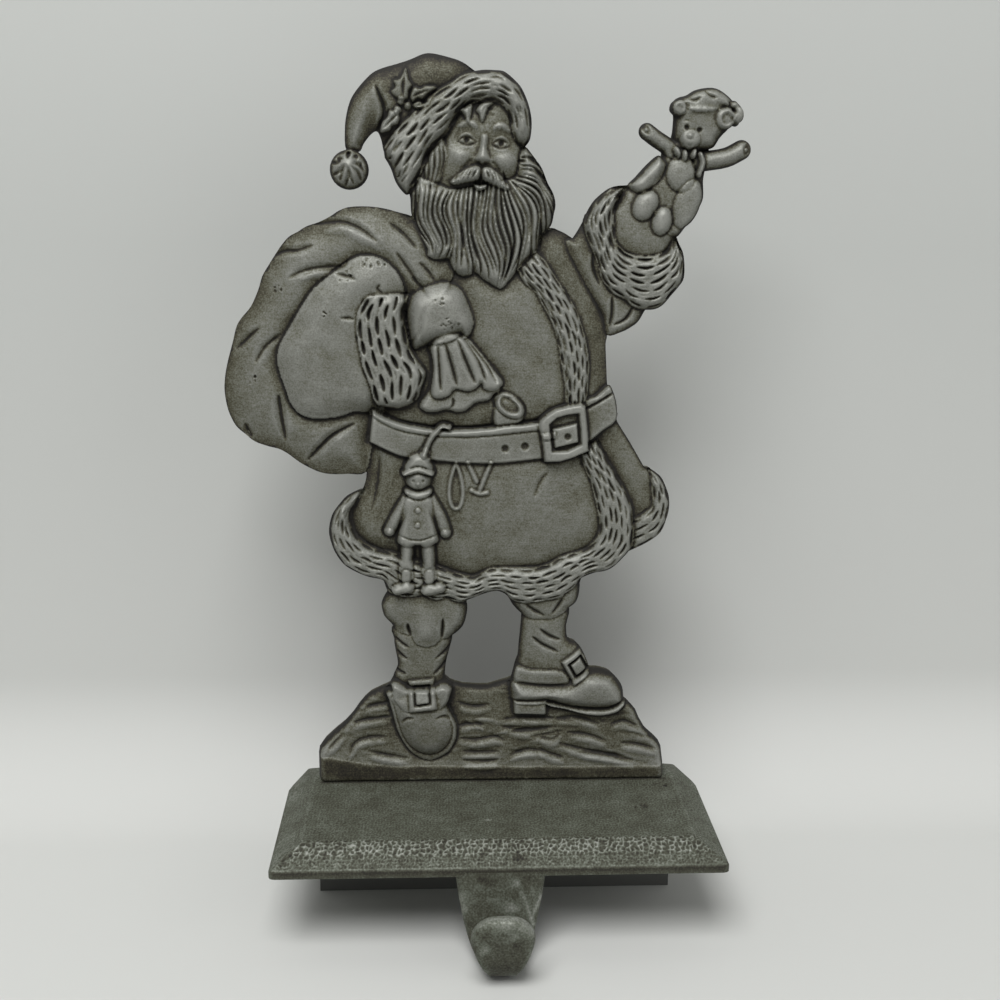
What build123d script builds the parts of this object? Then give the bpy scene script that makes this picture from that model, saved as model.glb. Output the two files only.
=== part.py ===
from build123d import *
import os
from math import atan2, degrees

# Mantel stocking holder: a cast relief figure of a bearded gift bringer with a sack, standing on
# a cast base plate whose front edge carries a hook. Two screws from below hold the figure down.
# Millimetres. The origin is the middle of the base's underside, which rests on the mantel shelf.
# +X is to the viewer's right, +Y goes back over the shelf and +Z is up.

# Base plate, bevelled on all sides, with its two back corners cut off
BASE_WIDTH = 115.0
BASE_DEPTH = 57.0
BASE_HEIGHT = 6.0
BASE_BACK_WIDTH = 107.0
SHOULDER_DEPTH = 44.5
LIP_HEIGHT = 2.0
BEVEL_RUN = 7.5
BASE_CORNER_RADIUS = 1.6

# Hook under the front edge, a strap bent to a J that narrows to its tip
HOOK_WIDTH = 25.4
HOOK_TIP_WIDTH = 17.0
HOOK_THICKNESS = 4.5
HOOK_PROUD = 0.3
HOOK_DROP = 12.7
HOOK_LEAN = 2.0
HOOK_BEND_RADIUS = 4.75
HOOK_BEND_ANGLE = 166.0
HOOK_TIP_RISE = 10.5
HOOK_TIP_RADIUS = 6.5
HOOK_ROUND_RADIUS = 8.8
HOOK_ROUND_TILT = 30.0

# Figure: its height, its place on the base, and how far each part stands off its flat back
FIGURE_HEIGHT = 191.7
FIGURE_SETBACK = 40.0
GROUND_DEPTH = 9.0
GROUND_TOP_DEPTH = 5.2
GROUND_HEIGHT = 30.0
GROUND_LIP = 4.2
GROUND_RIDGES = 4
HAT = 6.8
POMPOM = 7.2
HAT_BAND = 8.8
LEAF = 8.0
FACE = 7.4
NOSE = 9.2
HAIR = 8.2
MOUSTACHE = 9.6
BEARD = 9.0
CORE = 4.0
TORSO = 7.4
SKIRT = 7.0
FLAP = 5.6
FUR_TRIM = 8.3
FRONT_TRIM = 8.6
FLAP_FUR = 7.1
BELT = 8.5
BELT_PIPING = 9.0
BELT_END = 7.3
STRAP = 8.9
BUCKLE = 9.8
PRONG_LEVEL = 10.1
POUCH = 8.2
POUCH_RIM = 8.8
SACK = 7.0
SLEEVE = 8.4
CUFF = 9.6
MITTEN = 10.4
GATHERED_CLOTH = 9.2
RAISED_SLEEVE = 6.0
RAISED_CUFF = 8.2
RAISED_HAND = 6.8
BEAR = 7.6
BEAR_HEAD = 7.4
BEAR_CAP = 8.1
BEAR_ARM = 6.9
BEAR_FRONT = 8.6
TROUSERS = 6.7
BOOT = 6.3
SOLE = 7.8
FOOT = 9.5
BOOT_STRAP = 9.1
BOOT_BUCKLE = 9.9
SIDE_SOLE = 7.2
SIDE_FOOT = 8.0
SIDE_STRAP = 8.4
SIDE_BUCKLE = 8.9
TOY = 9.3
TOY_LIMB = 8.7
TOY_FACE = 9.9
TOY_CAP = 10.2
GROOVE_WIDTH = 0.9
GROOVE_DEPTH = 0.8
BEARD_GROOVE_WIDTH = 1.2
FOLD_WIDTH = 1.4
FUR_STROKE_LENGTH = 5.6
FUR_STROKE_PITCH = 10.5

# Fixing screws, up through the base into the figure's foot
SCREW_SPACING = 60.0
SCREW_DIAMETER = 4.0
SCREW_LENGTH = 9.0
SCREW_HEAD_DIAMETER = 7.0
SCREW_HEAD_HEIGHT = 2.2
SCREW_SLOT_WIDTH = 1.0
SCREW_SLOT_DEPTH = 1.0
HEAD_RECESS = 0.3
HEAD_CLEARANCE = 0.3
SHANK_CLEARANCE = 0.2
THREAD_CLEARANCE = 0.03
SCREW_END_CLEARANCE = 1.0

# Drawing of the figure, seen from the front: x from the middle, z from its foot. Each run of points
# is a chain of arcs, every second point being the middle of an arc, and an even run ends in a straight
# piece. A line of one run closes on itself.
HAT_LINE = [[(-37.9, 168.6), (-38.2, 174), (-37, 179.5), (-34.5, 183.8), (-31, 187), (-26, 188.9),
             (-21.5, 190.3), (-16.5, 191.7), (-11, 190.4), (-5, 188.1), (1, 185)],
            [(1, 185), (-3, 178), (-16, 168), (-26.5, 165)],
            [(-26.5, 165), (-28.6, 168.5), (-29.2, 171.3), (-30.2, 173.3)],
            [(-30.2, 173.3), (-31.9, 172.3), (-33.6, 170.2), (-34.6, 168.6)],
            [(-34.6, 168.6), (-37.9, 168.6)]]
HAT_FOLD = [(-30.1, 183.7), (-28.3, 178.6), (-30, 174.6)]
POMPOM_CENTRE = (-37.2, 164)
POMPOM_RADIUS = 4.85
HAT_BAND_LINE = [[(-22.7, 158), (-25.8, 161.3), (-28.4, 166.5), (-28.6, 169.2), (-26, 173),
                  (-22.5, 176.5),
                  (-19.5, 179.2), (-16.5, 182.2), (-12.5, 184.6), (-8.5, 186.9), (-4.5, 188), (-0.8, 188),
                  (3.5, 186), (6.9, 181), (8.1, 175), (7.5, 171.5), (6.3, 170)],
                 [(6.3, 170), (4.4, 171.5), (3.1, 174.5), (2.3, 177.5), (0, 180), (-3.1, 180.5),
                  (-6.4, 180),
                  (-9, 178.5), (-11, 176), (-13, 172.8), (-16, 169.8), (-18, 166), (-20, 162),
                  (-22.7, 158)]]
HAT_BAND_SPINE = [(-23.6, 162), (-23.6, 169), (-17.5, 175.5), (-12, 181), (-5, 184), (1.5, 183),
                  (5.3, 174)]
LEAF_LINES = [[(-24.4, 180.6), (-25.2, 183.5), (-22.9, 187.5), (-21.9, 183.5)],
              [(-22.2, 179.6), (-20.8, 182.8), (-16.2, 183.2), (-18.8, 180.2)],
              [(-25, 178.6), (-28.4, 177.8), (-29.4, 173.2), (-25.6, 175.4)]]

FACE_LINE = [[(-16, 170), (-11, 178), (-4, 181.5), (2.5, 179.5), (4.5, 173), (5.8, 169.5), (5, 164),
              (3, 160), (-4, 157), (-13, 159), (-17, 163)]]
HAIR_LINE = [[(-20.8, 164), (-17.2, 169.6), (-13.4, 172), (-12.8, 167), (-13.6, 162), (-15.5, 159.4),
              (-21, 160.6)]]
NOSE_LINE = [[(-3.5, 171.5), (-2.3, 171.5), (-1.4, 166.8), (-1, 164.6), (-2.9, 163.3), (-4.8, 164.6),
              (-4.4, 166.8)]]
MOUSTACHE_LINES = [[(-2, 162.3), (-4.2, 162.4), (-6.6, 160.7), (-9.4, 157.9), (-8.2, 156.8), (-5.2, 157),
                    (-2.5, 158.5), (-1.5, 160.4)],
                   [(-0.9, 160.4), (0.3, 158.9), (2.6, 158.6), (5, 159.3), (6.2, 160.2), (4.6, 161.8),
                    (2, 162.7), (-0.3, 162.3)]]

BEARD_LINE = [[(6.5, 170), (8.8, 167.5), (10.8, 164.8), (12.3, 161.3), (13.8, 158.6), (14.4, 156),
               (14, 153.6),
               (13.2, 150.8), (10.9, 148.2), (10, 144.8)],
              [(10, 144.8), (8.5, 143.6), (6.5, 141.7), (4.6, 139.2), (2.7, 137.1), (0.8, 135.5)],
              [(0.8, 135.5), (-1.5, 136.1), (-3.8, 137.5), (-6, 139.4)],
              [(-6, 139.4), (-9, 138.2), (-10.8, 139), (-12.5, 142.8)],
              [(-12.5, 142.8), (-15.8, 142.3), (-18, 143.6), (-19.3, 147.8), (-20.8, 150.5),
               (-21.9, 153.5),
               (-22.1, 157), (-20, 162)],
              [(-20, 162), (-14.2, 160.2), (-9, 158.6), (-3, 158.8), (2, 160.8), (4.8, 164), (6.5, 170)]]
BEARD_GROOVES = [[(-18.6, 159.6), (-20.2, 154), (-19, 148.5)], [(-16.5, 159), (-17.8, 152),
                  (-16.2, 144.5)],
                 [(-14, 158.4), (-14.8, 151), (-13.8, 144.4)], [(-11.5, 157.4), (-12, 150), (-10.8, 141)],
                 [(-9, 155.9), (-9.5, 149), (-8, 140.5)], [(-6.8, 155), (-7, 148), (-5.5, 141.4)],
                 [(-4.2, 154), (-4.2, 146), (-2.6, 138.8)], [(-1.5, 153.5), (-1.2, 145.5), (0, 137.8)],
                 [(1.3, 154.5), (2, 146.5), (2, 139.4)], [(3.8, 156.3), (5, 148.5), (4.3, 141.4)],
                 [(6.2, 158.5), (8, 151), (7, 144)], [(7.8, 161.5), (10.5, 154), (9.6, 147.7)],
                 [(8.3, 165), (11.8, 158.3), (12, 151.8)]]

SACK_LINE = [[(-20, 152.5), (-27, 154.5), (-33, 155.2), (-38, 154.8), (-42, 153), (-50, 149),
              (-56, 143.5),
              (-60, 137.5), (-66.5, 125.5), (-69.8, 115), (-70.3, 107), (-68, 99.5), (-62, 95),
              (-55, 92.2),
              (-48, 87.6), (-42, 86.4), (-34, 87), (-26, 94), (-20, 114), (-12, 134), (-13.5, 143)]]
SACK_FOLDS = [[(-55, 144), (-50.5, 144.2), (-46.4, 145.7)], [(-52.4, 137.7), (-47.5, 140), (-40, 140.5)],
              [(-44.3, 150.9), (-38, 151.2), (-31.2, 147.3)], [(-27, 151), (-23.9, 148.6),
               (-21.2, 145.5)],
              [(-25.3, 143.6), (-23.2, 140.5), (-20.8, 137)], [(-19.7, 141), (-18, 139), (-16.6, 137.5)],
              [(-66.4, 119.8), (-63.5, 122.5), (-60.8, 124.8)], [(-61.6, 116.7), (-59.3, 120.2),
               (-55.5, 123.2)],
              [(-56.2, 106.7), (-55.8, 101.7), (-55.2, 96.7)], [(-48.8, 91), (-45, 95.2), (-37.7, 100)]]
SLEEVE_LINE = [[(-24, 135), (-25.2, 140), (-28, 142), (-31.5, 143.2), (-35, 143), (-39, 141), (-44, 137),
                (-48, 133), (-51.5, 128), (-54.5, 123), (-56.3, 118), (-56.2, 113), (-54.4, 108),
                (-51, 103.8),
                (-46.5, 101.8), (-42, 102), (-36, 103.3), (-31, 104.5), (-28, 114), (-27, 124)]]
SLEEVE_FOLDS = [[(-40.5, 138.6), (-39, 134), (-38.6, 128)], [(-53.6, 113.5), (-48, 111), (-42.5, 111.6)]]
CUFF_LINE = [[(-34.1, 132.1), (-29.7, 133.6), (-25.8, 133.8), (-22.8, 132.9), (-23.4, 128), (-22.6, 122),
              (-21.2, 117.8), (-18.5, 114), (-19, 110.5), (-20.5, 107), (-22.8, 105.2), (-25.8, 104.2),
              (-29.7, 104.4), (-31.8, 106), (-33.2, 111.7), (-35.1, 118.6), (-35.9, 126.3)]]
CUFF_SPINE = [(-29, 132.4), (-29.6, 124), (-28, 115), (-25, 106)]
MITTEN_LINE = [[(-22.5, 120), (-23.6, 127), (-22.5, 132.5), (-19.6, 134.8), (-16.5, 136.1),
                (-13.5, 136.7),
                (-10.8, 135.9), (-8.8, 134), (-7.3, 130.5), (-6.3, 127.5), (-6.5, 124.8), (-8.3, 122.6)],
               [(-8.3, 122.6), (-9, 124.2), (-10.8, 122.7), (-14, 121.6), (-18, 120.6), (-22.5, 120)]]
MITTEN_GROOVES = [[(-9.2, 124.4), (-10.4, 127.6), (-13.2, 129.8)]]
CLOTH_LINE = [[(-18.5, 122), (-16.9, 117), (-16.8, 112), (-17.6, 108.2), (-20, 105.2), (-18.6, 103.6),
               (-14, 103.8), (-8.5, 103.6), (-5.4, 105.9), (-1.5, 107.3), (1, 109.4), (1.2, 111.8),
               (-1, 114.6),
               (-5.4, 120.2), (-9.2, 124.5), (-14, 125)]]
CLOTH_FOLDS = [[(-15.2, 120.4), (-14.7, 114), (-14.6, 106.6)], [(-12.6, 121.2), (-11, 115.5),
                (-9, 108.5)],
               [(-10.6, 122), (-7.6, 116), (-3.6, 109.6)], [(-9.4, 122.6), (-5, 117.4), (-0.8, 112)]]

CORE_LINE = [[(-20, 156), (-20, 160), (-24, 166), (-10, 184), (4, 178), (10, 160), (12, 150), (24, 130),
              (27, 122), (27, 108), (31, 100), (38, 88), (41, 78), (37.8, 66.6), (35, 64.6), (30, 62),
              (20, 58), (0, 56),
              (-28, 58), (-38, 64), (-40, 74), (-33.5, 84), (-34, 98), (-50, 120), (-40, 140), (-24, 150)]]
TORSO_LINE = [[(-14, 142), (-6, 149), (5, 151), (13.5, 150.6), (18.7, 147.8), (23, 141), (26.5, 133),
               (28.4, 125), (28.3, 118), (28.6, 110), (20, 98), (0, 92), (-20, 94), (-33, 100),
               (-30, 112),
               (-22, 129)]]
TRIM_LINE = [[(4.8, 140), (9.2, 134.4), (12.7, 128.6), (15.4, 121.7), (16.9, 113.6), (17.9, 104)],
             [(17.9, 104), (23.4, 104)],
             [(23.4, 104), (23.8, 112.5), (23.1, 121), (20.4, 129.4), (15.4, 137), (10, 144)],
             [(10, 144), (4.8, 140)]]
TRIM_SPINE = [(9, 140), (15.5, 131), (19, 121.5), (20.4, 106.5)]
BELT_LINE = [[(-32.6, 103.6), (-28.8, 102), (-21.2, 99.8), (-10, 98.9), (0, 99.2), (12, 101.2)],
             [(12, 101.2), (12.4, 91)],
             [(12.4, 91), (4, 90.1), (-6, 89.8), (-14, 90.2), (-20.8, 91), (-28.8, 93.2), (-33.3, 95.3)],
             [(-33.3, 95.3), (-32.6, 103.6)]]
PIPING_LINE = [[(-32.8, 103.9), (-28.8, 102.2), (-21.2, 100), (-10, 99.1), (0, 99.4), (11.4, 101.3)],
               [(11.4, 101.3), (11.2, 99)],
               [(11.2, 99), (0, 97.4), (-10, 97.2), (-21.2, 98), (-28.8, 100.2), (-33, 102.3)],
               [(-33, 102.3), (-32.8, 103.9)]]
BELT_RIGHT_LINE = [[(22.4, 105.2), (26, 107.8), (28.9, 110.6)],
                   [(28.9, 110.6), (30.8, 108.2), (31.6, 104.6), (31.3, 101)],
                   [(31.3, 101), (28.1, 98.6), (23.2, 95.5)],
                   [(23.2, 95.5), (22.4, 105.2)]]
BUCKLE_LINE = [[(10.9, 100.6), (12.6, 103), (15.2, 104.7), (18.5, 105.7), (22, 106), (23.2, 104.8)],
               [(23.2, 104.8), (23.7, 100), (24.3, 93.6)],
               [(24.3, 93.6), (21, 91.8), (16.5, 90.4), (12.2, 90.2)],
               [(12.2, 90.2), (11.5, 95), (10.9, 100.6)]]
BUCKLE_OPENING = [[(13.4, 100.4), (15.4, 102.4), (18.1, 103.2), (21.3, 103.6)],
                  [(21.3, 103.6), (21.9, 99.4), (22.3, 95)],
                  [(22.3, 95), (18.5, 93.2), (14.3, 93)],
                  [(14.3, 93), (13.7, 97), (13.4, 100.4)]]
STRAP_LINE = [[(11.9, 99.1), (22.4, 101)], [(22.4, 101), (23, 94.6)], [(23, 94.6), (12.6, 92.3)],
              [(12.6, 92.3), (11.9, 99.1)]]
PRONG = ((12.2, 96.4), (18.4, 97.2))
PRONG_WIDTH = 1.6
POUCH_MOUTH = ((1.7, 106.3), (4.5, 104.3))
POUCH_MOUTH_WIDTH = 5.4
POUCH_LINE = [[(-1, 106.6), (-0.5, 102), (-0.7, 98.2), (4.6, 98.6), (7.2, 102.4), (7, 105), (3, 108.4)]]

SKIRT_LINE = [[(-33.2, 98), (-34.2, 88), (-35.3, 82), (-40, 74), (-38, 66), (-26, 60), (-10, 56), (5, 56),
               (20, 60), (30, 66), (31, 76), (27, 89), (22, 98), (0, 102), (-20, 102)]]
SKIRT_FOLDS = [[(-29, 91), (-32, 82), (-34, 73)], [(4, 88), (6.5, 78), (7.5, 66)],
               [(15, 88.5), (18.6, 79), (20, 70)], [(-3, 80), (-2.4, 72), (-2.6, 64)]]
FLAP_LINE = [[(18, 99), (31.3, 102.4), (32.7, 99), (37.3, 91.7), (40.6, 87.8), (43, 84), (44, 78),
              (41, 71),
              (33, 66), (28, 74)]]
HEM_LINE = [[(-35.2, 82), (-38.4, 81.3), (-41.5, 78.4), (-44, 74), (-44.5, 70), (-43.4, 65.6),
             (-40.8, 61.7),
             (-36, 58.8), (-30.4, 56.9)],
            [(-30.4, 56.9), (-28.8, 54.2), (-24, 53), (-19.7, 53.4), (-15.6, 52.1), (-8.5, 51.2),
             (-2.9, 53.2),
             (0.2, 53.9), (3.9, 51.9), (8.4, 51.2), (15.1, 52.1), (18.8, 53.8), (22.7, 57.1),
             (26.5, 58.8),
             (30.5, 59.8), (34.2, 62.8), (36.7, 65.4)],
            [(36.7, 65.4), (27.4, 70.3)],
            [(27.4, 70.3), (25, 67), (21.9, 65.5), (18.1, 64.2), (14.2, 62.1), (10.8, 61.1), (4.9, 61.2),
             (-1.5, 60.8), (-5.4, 58.9), (-11.8, 60), (-17.9, 62), (-26.9, 65.2), (-34.2, 67.6),
             (-37.9, 71.7),
             (-38.4, 74.5), (-36.8, 79.2), (-35.2, 82)]]
HEM_SPINE = [(-39.6, 78), (-41.2, 71), (-37.5, 63.6), (-29, 60.6), (-18, 57.6), (-8, 55), (2, 57.4),
             (12, 56.4),
             (22, 61), (31, 65)]
FRONT_TRIM_LINE = [[(21.2, 93), (23.5, 87.8), (26, 80.5), (27.5, 73.2), (26.4, 66.4)],
                   [(26.4, 66.4), (36.8, 65)],
                   [(36.8, 65), (37.1, 70.5), (36.2, 78.2), (31.9, 86.3), (26.4, 96.2)],
                   [(26.4, 96.2), (21.2, 93)]]
FRONT_TRIM_SPINE = [(25, 92), (29.5, 84), (32, 76), (32, 68)]
FLAP_FUR_LINE = [[(40.4, 87.8), (43, 86.4), (45.4, 82.8), (46.5, 77), (45.2, 71.6), (42.7, 68.6),
                  (39.6, 66.7),
                  (36.2, 65.2)],
                 [(36.2, 65.2), (36.4, 73.6)],
                 [(36.4, 73.6), (39.6, 75.9), (41.6, 78.2), (41.6, 82.6), (40.4, 87.8)]]
FLAP_FUR_SPINE = [(42.6, 85), (44, 78.6), (42, 72), (37.6, 69)]

RAISED_SLEEVE_LINE = [[(18.6, 147.8), (21.5, 152.5), (26, 152), (31, 142), (37, 133), (38.2, 129.8),
                       (36.5, 126.8),
                       (33, 124.5), (28.6, 123.2), (24, 126), (22, 134), (19, 141)]]
RAISED_CUFF_LINE = [[(31.4, 160.8), (28, 160), (24.6, 157.6), (22.2, 154), (21.6, 150.6), (23, 146),
                     (25.4, 141),
                     (27.7, 136), (31, 133), (34.6, 130.8), (38, 129.8), (41.6, 130.4), (44.7, 133.5),
                     (47.2, 136.8), (48, 140.4), (47.2, 144.4), (45, 148.4), (40, 154), (35, 159.4)]]
RAISED_CUFF_SPINE = [(27.6, 156.6), (25.7, 150), (28.6, 142), (34.5, 136.8), (41, 137), (45.2, 142.6)]
RAISED_HAND_LINE = [[(32.2, 161.4), (29.9, 156.6), (29.3, 152), (30.4, 147), (33.2, 144.2), (37, 143.4),
                     (41.4, 144.4), (45.1, 148), (48.4, 151.4), (50.7, 155), (51.8, 158.6), (51.6, 162.6),
                     (49, 165), (42, 167), (36, 165)]]
THUMB = ((34.6, 160.6), (40.2, 166.2))
THUMB_WIDTH = 4.6
BEAR_BODY_LINE = [[(41.6, 166.4), (45, 168.2), (49, 168), (51.6, 165.6), (51.4, 162), (47, 159.4),
                   (44.6, 155.4),
                   (42, 154.6), (40, 157.6), (40.2, 162)]]
BEAR_HEAD_LINE = [[(43.2, 172), (43.3, 176), (43.4, 179), (46.5, 181.6), (50, 181.8), (54.4, 180.4),
                   (57, 177),
                   (56.2, 173.6), (54.2, 170.6), (51, 169.2), (47.5, 168.8), (44.6, 169.8)]]
BEAR_CAP_LINE = [[(43.2, 180.4), (44.7, 182.2), (48.3, 183.8), (52, 184.6), (55.1, 183.8), (58.2, 181.2),
                  (60.4, 179.4), (60.6, 177.2), (58.6, 175.8), (57, 178.2), (54, 179.4), (49.1, 178.6),
                  (46, 179.4)]]
BEAR_ARM_LINES = [[(39.2, 168.9), (36.4, 171.3), (34.9, 173.6), (35.3, 175.8), (36.9, 176.1),
                   (40.8, 174.1),
                   (44, 171.8), (46, 168), (43, 166)],
                  [(52.6, 169.6), (57.1, 170.3), (60.6, 172.4), (62.6, 171.8), (63.2, 169.6),
                   (61.8, 167.3),
                   (56.3, 164.9), (52, 163.6), (49, 166)]]
BEAR_MUZZLE = (47.5, 171.7)
BEAR_MUZZLE_RADIUS = 2.3
BEAR_EARS = [(44.5, 179.6), (56.5, 177.1)]
BEAR_EAR_RADIUS = 2.4
BEAR_FEET = [((36.3, 155.2), (37.3, 156.8)), ((40.8, 151), (41.6, 152.4)), ((47.2, 155), (48.6, 159.6))]
BEAR_FOOT_WIDTH = 5.8

LEFT_TROUSER_LINE = [[(-29.5, 56), (-30.9, 50), (-29.8, 46.5), (-26.9, 43.6), (-23.8, 42.2),
                      (-20.8, 39.2),
                      (-17.4, 38.9), (-14.8, 40.4), (-11.1, 41.7), (-8.4, 45.2), (-7.6, 49.5), (-8.2, 56),
                      (-18, 60)]]
LEFT_TROUSER_FOLDS = [[(-24.2, 47.5), (-23.4, 44.5), (-22.7, 41.4)], [(-14.1, 48), (-14.4, 44),
                       (-14.8, 40.6)]]
LEFT_SHAFT_LINE = [[(-27.2, 44.5), (-27.4, 39), (-26.7, 33.5), (-27.6, 30.4), (-28.9, 27), (-28, 21),
                    (-14, 19),
                    (-11.4, 27), (-13.6, 30.3), (-13.3, 34), (-12.2, 38.5), (-11.5, 43), (-19, 47)]]
LEFT_SOLE_LINE = [[(-29.4, 25), (-28.9, 21.5), (-27.1, 15), (-24.6, 10.2), (-21.9, 7.4), (-18.2, 6),
                   (-14.5, 6.9),
                   (-11.8, 9.5), (-10.4, 14), (-11.2, 18), (-12.8, 21.8), (-13, 25), (-20, 28)]]
LEFT_FOOT_LINE = [[(-27.9, 25), (-27.4, 21.5), (-25.7, 15.8), (-23.4, 11.4), (-20.8, 9), (-18, 8),
                   (-15.2, 8.8),
                   (-13, 11.1), (-12, 14.2), (-12.8, 17.6), (-14.3, 21.6), (-14.8, 25), (-20.5, 27.5)]]
TOE_SEAM = [(-25.2, 16.4), (-18.8, 20.3), (-12.8, 17.2)]
LEFT_STRAP_LINE = [[(-28.8, 28.4), (-19.8, 27.6), (-11.9, 27)], [(-11.9, 27), (-12.9, 23.2)],
                   [(-12.9, 23.2), (-19.8, 23), (-28.6, 24)], [(-28.6, 24), (-28.8, 28.4)]]
LEFT_BUCKLE_LINE = [[(-23.8, 28.9), (-16.7, 29.6)], [(-16.7, 29.6), (-15.8, 21.6)], [(-15.8, 21.6),
                     (-23.4, 20.9)],
                    [(-23.4, 20.9), (-23.8, 28.9)]]
LEFT_BUCKLE_OPENING = [[(-22.3, 27.2), (-18, 27.7)], [(-18, 27.7), (-17.6, 23.3)], [(-17.6, 23.3),
                        (-21.9, 22.7)],
                       [(-21.9, 22.7), (-22.3, 27.2)]]
RIGHT_TROUSER_LINE = [[(2.6, 55), (4.2, 51), (7.3, 47.6), (11, 46.4), (15.1, 46.4), (19.5, 48.6),
                       (22.2, 51.2),
                       (22.9, 56), (14, 60)]]
RIGHT_SHAFT_LINE = [[(7.2, 48.5), (6.9, 44), (6.2, 35.5), (4.9, 29), (4.4, 25), (10, 22), (20, 24),
                     (23.3, 32),
                     (22.6, 38.2), (20.2, 40.2), (19.5, 44), (19.4, 48.8), (13, 50)]]
RIGHT_SHAFT_FOLDS = [[(12.3, 43.5), (15.4, 42.4), (18.2, 40)], [(9.6, 41.4), (13.4, 40.2), (17.2, 37)]]
RIGHT_FOOT_LINE = [[(4.3, 27), (5.2, 22.6), (9.9, 21.8), (14.7, 22.1), (19.2, 20.9), (24.8, 20),
                    (30.3, 19.8),
                    (33.6, 20.7), (35.7, 22.8), (35.3, 26), (33.5, 29), (30, 30.9), (26, 31.4),
                    (20, 32.5),
                    (10, 32.5)]]
RIGHT_SOLE_LINE = [[(5, 23.9), (5.2, 18.8)], [(5.2, 18.8), (14.3, 18.6)], [(14.3, 18.6), (14.6, 21.1)],
                   [(14.6, 21.1), (19.2, 20.2), (22.9, 19.1), (26.6, 18.4), (30.3, 18.3),
                    (33.7, 19.2), (36.1, 21.2)],
                   [(36.1, 21.2), (35.4, 24.2)], [(35.4, 24.2), (5, 23.9)]]
RIGHT_STRAP_LINE = [[(5.3, 32.5), (10, 31.7), (18.8, 31.2)], [(18.8, 31.2), (20.3, 28)],
                    [(20.3, 28), (14, 27.5), (4.6, 28.8)], [(4.6, 28.8), (5.3, 32.5)]]
RIGHT_BUCKLE_LINE = [[(18.1, 34.1), (23.4, 37.8)], [(23.4, 37.8), (27.2, 31.3)], [(27.2, 31.3),
                      (21.6, 27.2)],
                     [(21.6, 27.2), (18.1, 34.1)]]
RIGHT_BUCKLE_OPENING = [[(20.2, 33.2), (23, 35.4)], [(23, 35.4), (25.2, 31.8)], [(25.2, 31.8),
                         (22.1, 29.6)],
                        [(22.1, 29.6), (20.2, 33.2)]]
GROUND_LINE = [[(-48.8, 0), (-48.8, 7.3)],
               [(-48.8, 7.3), (-47.6, 10.4), (-42, 15.5), (-38.3, 20.3), (-34.5, 24.4), (-29, 27)],
               [(-29, 27), (-20, 28), (-11.5, 27.4), (-4.8, 26.2), (1.3, 27.2), (8, 27.6), (22, 26.4),
                (36.1, 22.3)],
               [(36.1, 22.3), (39.3, 19.2), (41.9, 14), (46, 9.9), (47.2, 5.8), (47.8, 0)],
               [(47.8, 0), (-48.8, 0)]]

TOY_HEAD = (-20.6, 85.4)
TOY_HEAD_RADIUS = 4.1
TOY_CAP_LINE = [[(-24.9, 86.6), (-23.6, 90.4), (-19.8, 92.4), (-17, 90.2), (-16.3, 86.6), (-20.6, 88)]]
TOY_CORD = ((-18.2, 94), (-13.6, 99.6))
TOY_CORD_WIDTH = 1.4
TOY_TUNIC_LINE = [[(-23.6, 81.6), (-20.6, 82.4), (-17.6, 81.6)], [(-17.6, 81.6), (-15.4, 68.6)],
                  [(-15.4, 68.6), (-20.8, 67.4), (-26.4, 68.4)], [(-26.4, 68.4), (-23.6, 81.6)]]
TOY_LIMBS = [((-24.2, 79), (-28.4, 71.6)), ((-17, 79), (-13.4, 71.2)), ((-23.4, 68), (-24, 58.6)),
             ((-18.4, 68), (-17.8, 58.4))]
TOY_LIMB_WIDTH = 3.6
TOY_SHOES = [((-26, 55.6), (-24.2, 56.2)), ((-17.8, 56.2), (-16, 55.6))]
TOY_SHOE_WIDTH = 4.2

FRONT_EDGE = -BASE_DEPTH / 2
FIGURE_BACK = FRONT_EDGE + FIGURE_SETBACK + GROUND_DEPTH
BACK = Plane(origin=(0, FIGURE_BACK, BASE_HEIGHT), x_dir=(1, 0, 0), z_dir=(0, -1, 0))
SCALE = FIGURE_HEIGHT / max(z for x, z in HAT_LINE[0])
SCREW_DEPTH = FIGURE_BACK - GROUND_DEPTH / 2
SCREW_PLACES = [(-SCREW_SPACING / 2, SCREW_DEPTH), (SCREW_SPACING / 2, SCREW_DEPTH)]
HEAD_SEAT = SCREW_HEAD_HEIGHT + HEAD_RECESS


def scaled(points):
    """Points of the drawing at the figure's height."""
    return [(x * SCALE, z * SCALE) for x, z in points]


def face(line):
    """The flat face inside a line of the drawing."""
    with BuildSketch(Plane.XY) as drawn:
        with BuildLine():
            for run in line:
                points = scaled(run)
                if len(line) == 1:
                    points.append(points[0])
                for start, middle, end in zip(points[0::2], points[1::2], points[2::2]):
                    ThreePointArc(start, middle, end)
                if len(points) % 2 == 0:
                    Line(points[-2], points[-1])
        make_face()
    return drawn.sketch


def straight(line):
    """The flat face inside a line whose pieces are straight, such as the tufts of a fur edge."""
    points = [point for run in line for point in scaled(run)[: len(run) - (len(line) > 1)]]
    with BuildSketch(Plane.XY) as drawn:
        Polygon(*points, align=None)
    return drawn.sketch


def disc(centre, radius, sides=0):
    """A round face, or one with this many sides."""
    with BuildSketch(Plane.XY) as drawn:
        with Locations(*scaled([centre])):
            if sides:
                RegularPolygon(radius * SCALE, sides)
            else:
                Circle(radius * SCALE)
    return drawn.sketch


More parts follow.
